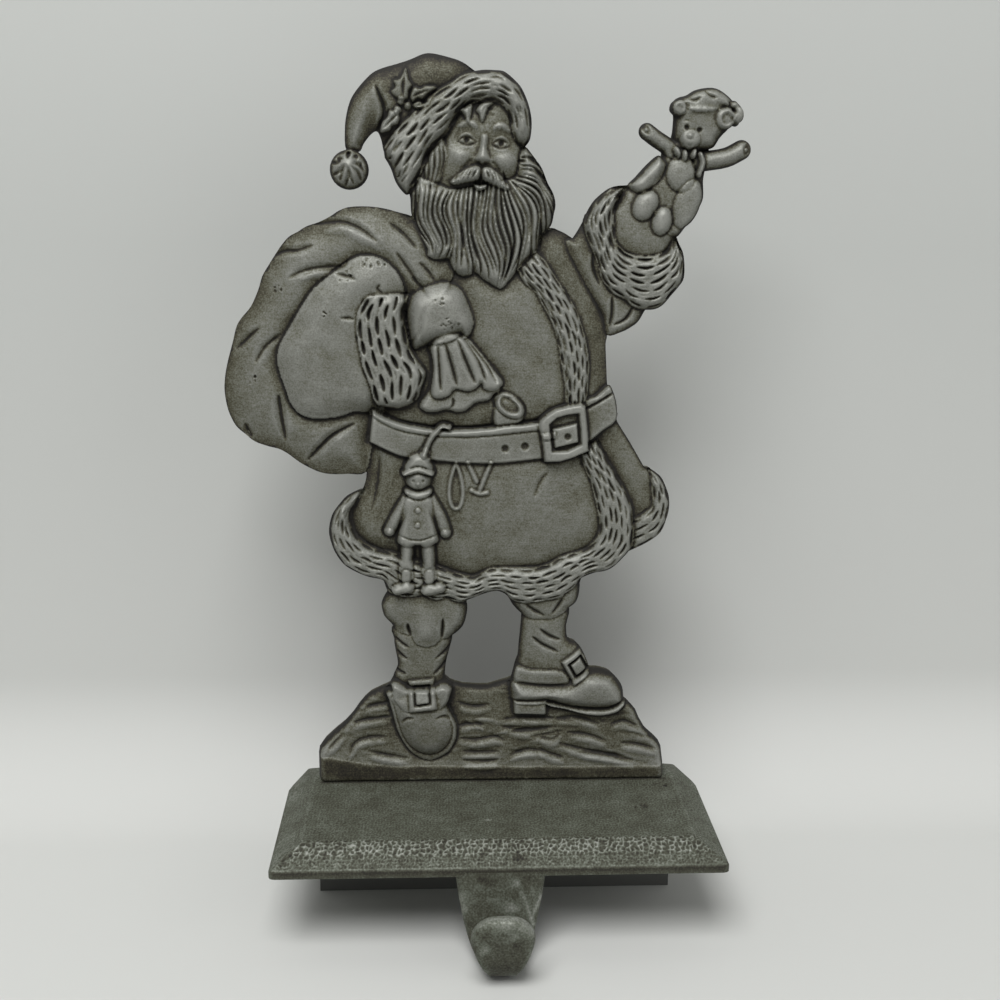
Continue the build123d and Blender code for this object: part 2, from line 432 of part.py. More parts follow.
def bar(ends, width):
    """A bar between two points, with the corners of its ends cut off."""
    (x0, z0), (x1, z1) = scaled(ends)
    half = ((x1 - x0) ** 2 + (z1 - z0) ** 2) ** 0.5 / 2
    side = width * SCALE / 2
    corner = side * 0.45
    tip = half + side
    quarter = [(tip, corner), (half + corner, side), (-half - corner, side), (-tip, corner)]
    with BuildSketch(Plane.XY) as drawn:
        with Locations(Location(((x0 + x1) / 2, (z0 + z1) / 2, 0), (0, 0, degrees(atan2(z1 - z0, x1 - x0))))):
            Polygon(*quarter, *[(-x, -z) for x, z in quarter], align=None)
    return drawn.sketch


def grooves(lines, width):
    """A groove along each line of three points, widest by its middle point and pointed at its ends."""
    with BuildSketch(Plane.XY) as drawn:
        for line in lines:
            (x0, z0), (x1, z1), (x2, z2) = scaled(line)
            share = width / 2 / ((x2 - x0) ** 2 + (z2 - z0) ** 2) ** 0.5
            across = Vector((z0 - z2) * share, (x2 - x0) * share)
            middle = Vector(x1, z1)
            Polygon((x0, z0), middle - across, (x2, z2), middle + across, align=None)
    return drawn.sketch


def fur(spine, half_width, rows):
    """Pointed strokes in staggered rows along the spine of a fur trim."""
    run = Edge.make_spline([Vector(x, z) for x, z in scaled(spine)])
    count = max(1, round(run.length / FUR_STROKE_PITCH))
    places = []
    for row in range(rows):
        offset = half_width * SCALE * (2 * (row + 0.5) / rows - 1)
        for stroke in range(count):
            share = (stroke + 0.3 + 0.45 * (row % 2)) / count
            point = run.position_at(share)
            along = run.tangent_at(share)
            turn = degrees(atan2(along.Y, along.X))
            places.append(Location((point.X - along.Y * offset, point.Y + along.X * offset, 0), (0, 0, turn)))
    half = FUR_STROKE_LENGTH / 2
    with BuildSketch(Plane.XY) as drawn:
        with Locations(*places):
            Polygon((-half, 0), (0, -GROOVE_WIDTH / 2), (half, 0), (0, GROOVE_WIDTH / 2), align=None)
    return drawn.sketch


def pad(drawn, level, root=0.0, dome=0.0, carved=None, opening=None):
    """A raised part of the relief. It stands from the root to the level above the flat back, falls
    away by the dome at its furthest edge, and has the carved faces sunk into its front."""
    box = drawn.bounding_box()
    reach = box.diagonal / 2
    radius = (reach**2 + dome**2) / (2 * dome) if dome else 0
    crown = BACK.from_local_coords(Vector(box.center().X, box.center().Y, level - radius))
    with BuildPart() as piece:
        with BuildSketch(BACK.offset(root)):
            add(drawn)
            if opening:
                add(opening, mode=Mode.SUBTRACT)
        extrude(amount=level + dome - root)
        if dome:
            with Locations(crown):
                Sphere(radius, mode=Mode.INTERSECT)
    if not carved:
        return piece.part
    with BuildPart() as chisel:
        with BuildSketch(BACK.offset(level - GROOVE_DEPTH - dome)):
            add(carved)
        extrude(amount=dome + 2 * GROOVE_DEPTH)
        if dome:
            with Locations(crown):
                Sphere(radius - GROOVE_DEPTH, mode=Mode.SUBTRACT)
    with BuildPart() as carving:
        add(piece.part)
        add(chisel.part, mode=Mode.SUBTRACT)
    return carving.part


with BuildPart() as ground:
    # Snowy ground: a lip in front and low ridges that climb back to the boots
    with BuildSketch(BACK):
        add(face(GROUND_LINE))
    extrude(amount=GROUND_DEPTH)
    front = FIGURE_BACK - GROUND_DEPTH
    crest = FIGURE_BACK - GROUND_TOP_DEPTH
    step = (crest - front) / GROUND_RIDGES
    rise = GROUND_HEIGHT / GROUND_RIDGES
    with BuildSketch(Plane.YZ):
        with BuildLine():
            Line((FIGURE_BACK, BASE_HEIGHT + GROUND_HEIGHT), (FIGURE_BACK, BASE_HEIGHT))
            Line((FIGURE_BACK, BASE_HEIGHT), (front, BASE_HEIGHT))
            edge = Line((front, BASE_HEIGHT), (front, BASE_HEIGHT + GROUND_LIP))
            for ridge in range(GROUND_RIDGES):
                depth = front + step * (ridge + 1)
                ledge = Line(edge @ 1, (depth, (edge @ 1).Y + step))
                edge = Line(ledge @ 1, (depth, BASE_HEIGHT + GROUND_LIP + rise * (ridge + 1)))
            Line(edge @ 1, (FIGURE_BACK, BASE_HEIGHT + GROUND_HEIGHT))
        make_face()
    extrude(amount=BASE_WIDTH, both=True, mode=Mode.INTERSECT)

hat = [
    pad(face(HAT_LINE), HAT, dome=1.6, carved=grooves([HAT_FOLD], GROOVE_WIDTH)),
    pad(disc(POMPOM_CENTRE, POMPOM_RADIUS), POMPOM, dome=2.4),
    pad(straight(HAT_BAND_LINE), HAT_BAND, carved=fur(HAT_BAND_SPINE, 4.2, 2)),
    *[pad(straight([line]), LEAF, root=2) for line in LEAF_LINES],
]

head = [
    pad(straight(FACE_LINE), FACE),
    pad(straight(HAIR_LINE), HAIR, root=1.5),
    pad(straight(NOSE_LINE), NOSE, root=2),
    *[pad(straight([line]), MOUSTACHE, root=2) for line in MOUSTACHE_LINES],
    pad(straight(BEARD_LINE), BEARD, dome=2.2, carved=grooves(BEARD_GROOVES, BEARD_GROOVE_WIDTH)),
]

coat = [
    pad(straight(CORE_LINE), CORE),
    pad(straight(TORSO_LINE), TORSO, dome=2.4),
    pad(straight(TRIM_LINE), FUR_TRIM, root=1.5, carved=fur(TRIM_SPINE, 3.0, 2)),
    pad(straight(SKIRT_LINE), SKIRT, dome=2.0, carved=grooves(SKIRT_FOLDS, FOLD_WIDTH)),
    pad(straight(FLAP_LINE), FLAP),
    pad(straight(HEM_LINE), FUR_TRIM, carved=fur(HEM_SPINE, 3.4, 2)),
    pad(straight(FRONT_TRIM_LINE), FRONT_TRIM, root=1.5, carved=fur(FRONT_TRIM_SPINE, 4.0, 2)),
    pad(straight(FLAP_FUR_LINE), FLAP_FUR, carved=fur(FLAP_FUR_SPINE, 2.6, 2)),
]

belt = [
    pad(face(BELT_LINE), BELT, root=0.8),
    pad(straight(PIPING_LINE), BELT_PIPING, root=1.2),
    pad(straight(BELT_RIGHT_LINE), BELT_END),
    pad(straight(STRAP_LINE), STRAP, root=1.6),
    pad(face(BUCKLE_LINE), BUCKLE, root=2, opening=straight(BUCKLE_OPENING)),
    pad(bar(PRONG, PRONG_WIDTH), PRONG_LEVEL, root=2.4),
    pad(straight(POUCH_LINE), POUCH, root=1.7),
    pad(bar(POUCH_MOUTH, POUCH_MOUTH_WIDTH), POUCH_RIM, root=2.1),
]

sack_and_arm = [
    pad(face(SACK_LINE), SACK, dome=2.4, carved=grooves(SACK_FOLDS, FOLD_WIDTH)),
    pad(face(SLEEVE_LINE), SLEEVE, root=0.6, dome=1.6, carved=grooves(SLEEVE_FOLDS, FOLD_WIDTH)),
    pad(straight(CUFF_LINE), CUFF, root=1.1, carved=fur(CUFF_SPINE, 6.4, 3)),
    pad(face(MITTEN_LINE), MITTEN, root=1.3, dome=1.4, carved=grooves(MITTEN_GROOVES, GROOVE_WIDTH)),
    pad(straight(CLOTH_LINE), GATHERED_CLOTH, root=1.0, carved=grooves(CLOTH_FOLDS, FOLD_WIDTH)),
]

raised_arm = [
    pad(straight(RAISED_SLEEVE_LINE), RAISED_SLEEVE),
    pad(straight(RAISED_CUFF_LINE), RAISED_CUFF, carved=fur(RAISED_CUFF_SPINE, 4.6, 2)),
    pad(straight(RAISED_HAND_LINE), RAISED_HAND),
    pad(bar(THUMB, THUMB_WIDTH), BEAR_FRONT, root=0.7),
]

bear = [
    pad(straight(BEAR_BODY_LINE), BEAR, root=0.5),
    pad(face(BEAR_HEAD_LINE), BEAR_HEAD),
    pad(straight(BEAR_CAP_LINE), BEAR_CAP),
    *[pad(disc(place, BEAR_EAR_RADIUS, 12), BEAR_ARM) for place in BEAR_EARS],
    *[pad(straight([line]), BEAR_ARM) for line in BEAR_ARM_LINES],
    pad(disc(BEAR_MUZZLE, BEAR_MUZZLE_RADIUS, 12), BEAR_FRONT, root=1.5),
    *[pad(bar(ends, BEAR_FOOT_WIDTH), BEAR_FRONT, root=1.4) for ends in BEAR_FEET],
]

legs = [
    pad(straight(LEFT_TROUSER_LINE), TROUSERS, carved=grooves(LEFT_TROUSER_FOLDS, FOLD_WIDTH)),
    pad(straight(LEFT_SHAFT_LINE), BOOT),
    pad(straight(LEFT_SOLE_LINE), SOLE),
    pad(face(LEFT_FOOT_LINE), FOOT, root=1.2, dome=1.6, carved=grooves([TOE_SEAM], GROOVE_WIDTH)),
    pad(straight(LEFT_STRAP_LINE), BOOT_STRAP, root=0.9),
    pad(straight(LEFT_BUCKLE_LINE), BOOT_BUCKLE, root=1.8, opening=straight(LEFT_BUCKLE_OPENING)),
    pad(straight(RIGHT_TROUSER_LINE), TROUSERS),
    pad(straight(RIGHT_SHAFT_LINE), BOOT, carved=grooves(RIGHT_SHAFT_FOLDS, FOLD_WIDTH)),
    pad(straight(RIGHT_SOLE_LINE), SIDE_SOLE),
    pad(face(RIGHT_FOOT_LINE), SIDE_FOOT, root=1.2),
    pad(straight(RIGHT_STRAP_LINE), SIDE_STRAP, root=1.5),
    pad(straight(RIGHT_BUCKLE_LINE), SIDE_BUCKLE, root=1.8, opening=straight(RIGHT_BUCKLE_OPENING)),
]

toy = [
    *[pad(bar(ends, TOY_LIMB_WIDTH), TOY_LIMB, root=1.6) for ends in TOY_LIMBS],
    *[pad(bar(ends, TOY_SHOE_WIDTH), TOY, root=2.0) for ends in TOY_SHOES],
    pad(straight(TOY_TUNIC_LINE), TOY, root=1.8),
    pad(disc(TOY_HEAD, TOY_HEAD_RADIUS, 16), TOY_FACE, root=2.2),
    pad(straight(TOY_CAP_LINE), TOY_CAP, root=2.4),
    pad(bar(TOY_CORD, TOY_CORD_WIDTH), TOY, root=1.9),
]

with BuildPart() as figure:
    add(ground.part)
    for group in (hat, head, coat, belt, sack_and_arm, raised_arm, bear, legs, toy):
        add(group)
    with BuildSketch(Plane.XY.offset(BASE_HEIGHT)):
        with Locations(*SCREW_PLACES):
            Circle(SCREW_DIAMETER / 2 + THREAD_CLEARANCE)
    extrude(amount=HEAD_SEAT + SCREW_LENGTH + SCREW_END_CLEARANCE - BASE_HEIGHT, mode=Mode.SUBTRACT)
figure.part.label = "relief_figure"

with BuildPart() as hook:
    # Strap bent to a J: it hangs just proud of the lip, leans out a little, curls forward and up to its tip
    with BuildLine(Plane.YZ) as bend:
        root = (FRONT_EDGE - HOOK_PROUD, LIP_HEIGHT / 2)
        stem = Line(root, (root[0] - HOOK_LEAN, -HOOK_DROP))
        curl = JernArc(stem @ 1, stem % 1, HOOK_BEND_RADIUS, -HOOK_BEND_ANGLE)
        tip = PolarLine(start=curl @ 1, length=HOOK_TIP_RISE, direction=curl % 1)
    half_width = HOOK_WIDTH / 2
    with BuildSketch(Plane(origin=stem @ 0, x_dir=(1, 0, 0), z_dir=stem % 0)):
        Rectangle(HOOK_WIDTH, HOOK_THICKNESS, align=(Align.CENTER, Align.MAX))
    sweep(path=bend.line)
    # Seen from above it narrows towards the tip, whose corners are rounded off
    back = root[0] + HOOK_THICKNESS
    front = (tip @ 1).Y - HOOK_THICKNESS
    with BuildSketch(Plane.XY.offset(LIP_HEIGHT)):
        Polygon((-half_width, back), (-HOOK_TIP_WIDTH / 2, front), (HOOK_TIP_WIDTH / 2, front),
                (half_width, back), align=None)
    extrude(amount=-3 * (HOOK_DROP + HOOK_BEND_RADIUS), mode=Mode.INTERSECT)
    above_end = (tip @ 1) + Vector(0, -HOOK_THICKNESS / 2, HOOK_PROUD)
    end = hook.faces().sort_by_distance(above_end)[0]
    fillet(end.edges().sort_by(SortBy.LENGTH)[:2], HOOK_TIP_RADIUS)
    # Seen from the front and a little above, its sides run into a round end
    towards = Vector(0, -1, 0).rotate(Axis.X, -HOOK_ROUND_TILT)
    slant = Plane(origin=curl.arc_center, x_dir=(1, 0, 0), z_dir=towards)
    low = -HOOK_BEND_RADIUS - HOOK_THICKNESS
    centre = low + HOOK_ROUND_RADIUS
    neck = slant.to_local_coords(stem @ 0).Y
    crown = neck + BASE_DEPTH
    with BuildSketch(slant):
        with BuildLine():
            Polyline((-HOOK_ROUND_RADIUS, centre), (-half_width, neck), (-half_width, crown),
                     (half_width, crown), (half_width, neck), (HOOK_ROUND_RADIUS, centre))
            ThreePointArc((HOOK_ROUND_RADIUS, centre), (0, low), (-HOOK_ROUND_RADIUS, centre))
        make_face()
    extrude(amount=2 * BASE_DEPTH, both=True, mode=Mode.INTERSECT)

with BuildPart() as base:
    # Bevelled plate: a square lip all round, then a slope up to the flat table the figure stands on
    half_front = BASE_WIDTH / 2
    half_back = BASE_BACK_WIDTH / 2
    shoulder = FRONT_EDGE + SHOULDER_DEPTH
    plan = [(-half_front, FRONT_EDGE), (half_front, FRONT_EDGE), (half_front, shoulder),
            (half_back, -FRONT_EDGE), (-half_back, -FRONT_EDGE), (-half_front, shoulder)]
    with BuildSketch(Plane.XY.offset(LIP_HEIGHT)) as lip:
        Polygon(*plan, align=None)
        fillet(lip.vertices(), BASE_CORNER_RADIUS)
    extrude(amount=-LIP_HEIGHT)
    with BuildSketch(Plane.XY.offset(BASE_HEIGHT)) as table:
        Polygon(*plan, align=None)
        offset(amount=-BEVEL_RUN, kind=Kind.INTERSECTION)
        fillet(table.vertices(), BASE_CORNER_RADIUS)
    loft(sections=[lip.sketch.face(), table.sketch.face()], ruled=True)
    add(hook.part)
    with BuildSketch(Plane.XY):
        with Locations(*SCREW_PLACES):
            Circle(SCREW_DIAMETER / 2 + SHANK_CLEARANCE)
    extrude(amount=BASE_HEIGHT, mode=Mode.SUBTRACT)
    with BuildSketch(Plane.XY):
        with Locations(*SCREW_PLACES):
            Circle(SCREW_HEAD_DIAMETER / 2 + HEAD_CLEARANCE)
    extrude(amount=HEAD_SEAT, mode=Mode.SUBTRACT)
base.part.label = "base_with_hook"

with BuildPart() as screws:
    # Slotted cheese-head screws, their heads sunk in the base's underside
    with BuildSketch(Plane.XY.offset(HEAD_RECESS)):
        with Locations(*SCREW_PLACES):
            Circle(SCREW_HEAD_DIAMETER / 2)
    extrude(amount=SCREW_HEAD_HEIGHT)
    with BuildSketch(Plane.XY.offset(HEAD_SEAT)):
        with Locations(*SCREW_PLACES):
            Circle(SCREW_DIAMETER / 2)
    extrude(amount=SCREW_LENGTH)
    with BuildSketch(Plane.XY.offset(HEAD_RECESS)):
        with Locations(*SCREW_PLACES):
            Rectangle(SCREW_HEAD_DIAMETER, SCREW_SLOT_WIDTH)
    extrude(amount=SCREW_SLOT_DEPTH, mode=Mode.SUBTRACT)
screws.part.label = "fixing_screws"

os.makedirs("parts", exist_ok=True)
export_step(figure.part, "parts/relief_figure.step")
export_step(base.part, "parts/base_with_hook.step")
export_step(screws.part, "parts/fixing_screws.step")
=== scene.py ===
from math import cos, pi, radians, sin

import bmesh
import bpy
import numpy as np
from mathutils import Matrix, Vector


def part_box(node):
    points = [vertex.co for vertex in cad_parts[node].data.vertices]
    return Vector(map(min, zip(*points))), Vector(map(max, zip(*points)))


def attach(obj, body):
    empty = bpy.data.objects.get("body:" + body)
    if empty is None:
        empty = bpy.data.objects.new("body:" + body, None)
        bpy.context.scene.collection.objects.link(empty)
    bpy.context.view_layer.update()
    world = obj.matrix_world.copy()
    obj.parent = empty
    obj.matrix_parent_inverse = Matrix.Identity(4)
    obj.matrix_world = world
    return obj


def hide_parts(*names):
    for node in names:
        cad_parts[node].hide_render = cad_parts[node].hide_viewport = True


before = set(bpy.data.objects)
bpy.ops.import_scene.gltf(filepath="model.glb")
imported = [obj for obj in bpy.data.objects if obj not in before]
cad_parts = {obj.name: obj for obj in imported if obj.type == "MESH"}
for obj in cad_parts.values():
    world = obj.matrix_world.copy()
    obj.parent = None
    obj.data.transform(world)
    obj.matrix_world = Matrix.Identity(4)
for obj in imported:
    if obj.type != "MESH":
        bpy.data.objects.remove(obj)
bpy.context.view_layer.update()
MM = 0.001

# The ground under the boots: part of the figure's one casting in antiqued, pewter-look metal, with a
# flat back and a carved front. The carving is a depth in mm above the flat back at each point of a fine
# block, and every form below is cut into that block in the order in which a carver would lay them.
PITCH = 0.25
LEFT, RIGHT, FOOT, TOP = -72.0, 65.0, 6.0, 199.0
columns = round((RIGHT - LEFT) / PITCH)
rows = round((TOP - FOOT) / PITCH)
across, up = np.meshgrid(np.linspace(LEFT, RIGHT, columns + 1), np.linspace(FOOT, TOP, rows + 1))
across = across.astype(np.float32)
up = up.astype(np.float32)
FAR_OUTSIDE = -9.0
RIM = 4.6
LOWEST = RIM - 1.5
relief = np.zeros_like(across)
within = np.full_like(across, FAR_OUTSIDE)
chance = np.random.default_rng(seed=7)


def curve(points, closed=False, steps=4):
    """A smooth line through given points, as rows of x, z in mm."""
    p = np.array(points, np.float32)
    if closed:
        p = np.vstack([p[-1:], p, p[:2]])
    else:
        p = np.vstack([2 * p[:1] - p[1:2], p, 2 * p[-1:] - p[-2:-1]])
    t = np.linspace(0, 1, steps, endpoint=False, dtype=np.float32)[:, None]
    runs = []
    for a, b, c, d in zip(p, p[1:], p[2:], p[3:]):
        runs.append(b + 0.5 * t * (c - a + t * (2 * a - 5 * b + 4 * c - d + t * (3 * (b - c) + d - a))))
    if not closed:
        runs.append(p[-2:-1])
    return np.vstack(runs)


def corners(points):
    """A line with straight sides and sharp corners."""
    return np.array(points, np.float32)


def oval(x, z, half_width, half_height, turn=0.0, sides=28):
    """A closed oval line, turned by some degrees."""
    a = np.linspace(0, 2 * pi, sides, endpoint=False)
    u, v = half_width * np.cos(a), half_height * np.sin(a)
    c, s = cos(radians(turn)), sin(radians(turn))
    return np.stack([x + c * u - s * v, z + s * u + c * v], 1).astype(np.float32)


def near(line, reach):
    """The part of the block within reach of a line."""
    low, high = line.min(0) - reach, line.max(0) + reach
    first = [max(int((v - o) / PITCH), 0) for v, o in zip(low, (LEFT, FOOT))]
    last = [max(int((v - o) / PITCH) + 2, 0) for v, o in zip(high, (LEFT, FOOT))]
    return slice(first[1], last[1]), slice(first[0], last[0])


def measure(line, x, z, closed=False):
    """Each point's distance from a line, its share of the way along it, and whether it is inside."""
    nearest = np.full_like(x, 1e9)
    share = np.zeros_like(x)
    odd = np.zeros(x.shape, bool)
    ends = np.roll(line, -1, 0) if closed else line[1:]
    for number, ((ax, az), (bx, bz)) in enumerate(zip(line, ends)):
        dx, dz = bx - ax, bz - az
        length = dx * dx + dz * dz + 1e-9
        px, pz = x - ax, z - az
        t = np.clip((px * dx + pz * dz) / length, 0, 1)
        gap = (px - t * dx) ** 2 + (pz - t * dz) ** 2
        closer = gap < nearest
        nearest = np.where(closer, gap, nearest)
        share = np.where(closer, number + t, share)
        if closed and dz:
            odd ^= ((pz < 0) != (pz < dz)) & (px < pz * dx / dz)
    return np.sqrt(nearest), share / len(ends), odd


def rounded(depth, roll, fullness=2.2):
    """A soft round profile: 0 at an edge, 1 once the roll is past."""
    return 1 - (1 - np.clip(depth / roll, 0, 1)) ** fullness


def form(line, top, roll=2.0, crown=0.0, crease=0.2, gap=0.5, moat=0.12, moat_reach=2.4):
    """Raises a rounded form inside a closed line to a level, with a crease and a soft moat round it."""
    part = near(line, reach=6.0)
    distance, _, inside = measure(line, across[part], up[part], closed=True)
    depth = np.where(inside, distance, -distance)
    within[part] = np.maximum(within[part], depth)
    ground = np.maximum(relief[part], RIM)
    level = top[part] if isinstance(top, np.ndarray) else top
    level = level + crown * rounded(depth, depth.max())
    raised = ground + np.maximum(level - ground, 0) * rounded(depth, roll)
    cut = relief[part] - crease * np.exp(-((distance / gap) ** 2))
    cut = cut - moat * np.exp(-((distance / moat_reach) ** 2))
    relief[part] = np.where(inside, raised, np.where(relief[part] > 0, np.maximum(cut, LOWEST), 0))


def lay(line, rise, roll=0.8, crease=0.2, gap=0.45):
    """Lays a form of even thickness on what is there already."""
    part = near(line, reach=2.0)
    distance, _, inside = measure(line, across[part], up[part], closed=True)
    raised = relief[part] + rise * rounded(distance, roll)
    cut = relief[part] - crease * np.exp(-((distance / gap) ** 2))
    relief[part] = np.where(inside, raised, np.where(relief[part] > 0, cut, 0))


def swell(x, z, half_width, half_height, rise, turn=0.0):
    """A soft rise, or a soft hollow where the rise is negative, with no edge of its own."""
    c, s = cos(radians(turn)), sin(radians(turn))
    u = ((across - x) * c + (up - z) * s) / half_width
    v = ((up - z) * c - (across - x) * s) / half_height
    relief[:] = np.where(relief > 0, relief + rise * np.exp(-2 * (u * u + v * v)), 0)


def bead(x, z, radius, rise):
    """A round bead with a crease round it."""
    lay(oval(x, z, radius, radius, sides=16), rise=rise, roll=radius, crease=0.25, gap=0.4)


def hole(x, z, radius, depth, lip_rise=0.12, lip_at=1.35, lip_width=0.25):
    """A round blind hole with a soft lip."""
    part = near(corners([(x, z), (x, z)]), radius * 2)
    away = np.hypot(across[part] - x, up[part] - z) / radius
    relief[part] -= depth / (1 + away**6) - lip_rise * np.exp(-(((away - lip_at) / lip_width) ** 2))


def groove(line, width, depth, pointed=True, thinnest=0.02):
    """Cuts a round-bottomed groove along a line, pointed at both ends like a chisel stroke."""
    part = near(line, width)
    distance, share, _ = measure(line, across[part], up[part])
    taper = np.sqrt(np.clip(4 * share * (1 - share), 0, 1)) if pointed else 1.0
    half = np.maximum(taper * width / 2, thinnest)
    cut = depth * taper * np.clip(1 - (distance / half) ** 2, 0, 1)
    relief[part] = np.where(relief[part] > 0, relief[part] - cut, 0)


def fold(points, width, depth):
    """A fold in cloth: a wide soft trough with a fine crease at its bottom."""
    for width_share, depth_share in ((1.0, 0.55), (0.35, 0.6)):
        groove(curve(points), width=width * width_share, depth=depth * depth_share)


# Front lip of the ground, then a bank that falls back towards the boots, with trodden ridges
BANK_LINE = [(-48.8, 0), (-48.8, 6), (-48.8, 13.3), (-48.5, 15), (-47.6, 16.4), (-45, 18.9), (-42, 21.5),
             (-39.8, 24), (-38.3, 26.3), (-36.4, 28.7), (-34.5, 30.4), (-31.9, 31.7), (-29, 33), (-20, 36),
             (-11.5, 33.4), (-8.5, 32.5), (-4.8, 32.2), (-2, 32.2), (1.3, 33.2), (4.1, 34), (12, 36),
             (24, 34), (36.1, 28.3), (37.8, 27), (39.3, 25.2), (40.4, 22.6), (41.9, 20), (43.7, 18),
             (46, 15.9), (46.9, 14), (47.2, 11.8), (47.6, 9.2), (47.8, 6), (47.8, 0)]
LIP_X = [-48.8, -44.6, -40, -34.5, -29, 10, 24.8, 47.6]
LIP_Z = [13.3, 13, 12, 11.2, 10.5, 9.9, 9.6, 9.6]
LIP_LEVEL, BANK_LEVEL, BANK_FALL, BANK_TOP, BANK_BEND = 9.0, 8.7, 3.4, 34.0, 0.8
lip = np.interp(across, LIP_X, LIP_Z).astype(np.float32)
bank = BANK_LEVEL - BANK_FALL * np.clip((up - lip) / (BANK_TOP - lip), 0, 1) ** BANK_BEND
ground = np.where(up < lip, LIP_LEVEL, bank)
form(corners(BANK_LINE), top=ground, roll=1.6, moat=0.0)
RIDGES = [[(-39.5, 22.6), (-35, 23.7), (-28.5, 24.3)],
          [(-40.2, 13.6), (-38.6, 17), (-35, 18.5), (-29.5, 18.8)],
          [(-34.8, 14.8), (-30, 13.6), (-23.5, 12.5)], [(-36, 27), (-32, 27.9), (-28.6, 28.2)],
          [(-10.5, 28.4), (-6, 27), (-1, 27.6)], [(-10.3, 21.4), (-7, 22), (-2.6, 21.8)],
          [(-10.2, 18), (-5, 17.6), (0, 18.4), (3, 17.2)], [(-9.4, 14.4), (-4, 14), (1.4, 14.3)],
          [(-9, 11.9), (-3, 11.6), (1.2, 11.9)], [(2, 23.2), (9, 23.9), (16.5, 23.4)],
          [(1.6, 21.4), (7, 20.1), (12, 20.3), (17.5, 21)], [(9.6, 18.3), (14, 18.8), (19, 19.8)],
          [(12.6, 18), (16, 17.5), (18.4, 18.9)], [(17, 23.4), (23, 23.6), (29.5, 21.6)],
          [(20, 19.3), (26, 18.6), (31.5, 16.6)], [(17.6, 16.4), (25, 14.4), (37, 12.2)],
          [(23, 13.8), (31, 12.8), (39, 11.2)], [(32, 21.4), (36, 22.4), (40.4, 20.6)],
          [(35, 16.2), (40, 15.7), (45.4, 14.2)], [(12, 15.2), (16, 13.2), (19.4, 12.2)],
          [(-46, 15.4), (-43.6, 17.8), (-41.6, 20)], [(4, 13), (9, 14.6), (14, 14)]]
RIDGE_STEP, STREAKS = 1.6, 90
for ridge in RIDGES:
    fold(ridge, width=2.6, depth=0.6)
    groove(curve(ridge) - (0, RIDGE_STEP), width=2.4, depth=-0.35)
for _ in range(STREAKS):
    x, z = chance.uniform(-44, 44), chance.uniform(11, 33)
    half_length, slope = chance.uniform(2, 6), chance.normal(0, 0.8)
    middle = (x, z + chance.normal(0, 0.4))
    streak = curve([(x - half_length, z - slope), middle, (x + half_length, z + slope)])
    groove(streak, width=chance.uniform(0.9, 2.0), depth=chance.uniform(-0.3, 0.3))

# Boots and trousers: cast with the figure. The trousers are gathered over the boot tops, and each
# boot has a welted sole, a strap across the instep and a square buckle.
LEFT_SHAFT = [(-27, 50.5), (-27.5, 46.4), (-27.3, 44), (-26.7, 40.4), (-26.7, 38.6), (-27.7, 36.3),
              (-28.2, 34), (-28.8, 32.5), (-28, 27), (-20, 25), (-13, 27), (-11.6, 32.6), (-13.3, 34.9),
              (-13.7, 36.3), (-13.5, 38.9), (-13, 41.5), (-12.2, 44.5), (-11.7, 47), (-12, 51)]
form(curve(LEFT_SHAFT, closed=True), top=6.0, roll=3.0, crown=0.6)
for crease in ([(-27.2, 47.2), (-25.4, 45.6), (-23.4, 44.4)], [(-26.8, 43.5), (-25.4, 42), (-23.8, 41)],
               [(-12, 45), (-14, 42.8), (-16.4, 41)], [(-13.3, 40.4), (-14.8, 38.4), (-17, 36.4)],
               [(-27.4, 38), (-25.8, 37.2), (-24.2, 36.7)]):
    fold(crease, width=1.6, depth=0.9)
LEFT_SOLE = [(-29.3, 31.9), (-29.3, 29.3), (-28.2, 25.2), (-27.1, 21), (-25.6, 17.7), (-23.8, 15),
             (-21.9, 13.3), (-19.7, 12.2), (-17.1, 12), (-14.5, 12.9), (-12.2, 14.8), (-10.7, 17.7),
             (-10.4, 20.3), (-10.7, 22.6), (-11.9, 25.2), (-13, 27.8), (-13, 31), (-21, 33)]
form(curve(LEFT_SOLE, closed=True), top=8.3, roll=0.9, crease=0.4)
LEFT_UPPER = [(-28, 31), (-27.5, 28), (-26.2, 22.6), (-24.8, 18.6), (-22.8, 15.8), (-20.4, 14.3),
              (-17.8, 13.9), (-15.2, 14.6), (-13.1, 16.6), (-12, 19.4), (-12, 22.2), (-13, 25.2), (-14, 28),
              (-14.5, 31), (-21, 33)]
form(curve(LEFT_UPPER, closed=True), top=9.3, roll=3.6, crown=0.7, crease=0.3)
for crease in ([(-25.6, 23.6), (-24, 25), (-22, 25.1)], [(-16.4, 24.9), (-14, 25.2), (-12, 24)]):
    groove(curve(crease), width=1.0, depth=0.6)
LEFT_STRAP = [(-28.7, 34), (-26.8, 34.8), (-23, 33), (-17, 33.4), (-14.6, 34.2), (-12.4, 33.6), (-11.7, 32),
              (-13, 28.6), (-15.5, 27.4), (-23.6, 26.8), (-27, 29.4)]
form(curve(LEFT_STRAP, closed=True), top=9.0, roll=1.4)


def buckle(outer, inner, rise):
    """A square buckle: a raised frame, its slot cut round the strap seen through it."""
    lay(corners(outer), rise=rise, roll=0.7, crease=0.22)
    groove(corners(inner + inner[:1]), width=0.9, depth=rise + 0.5, pointed=False)


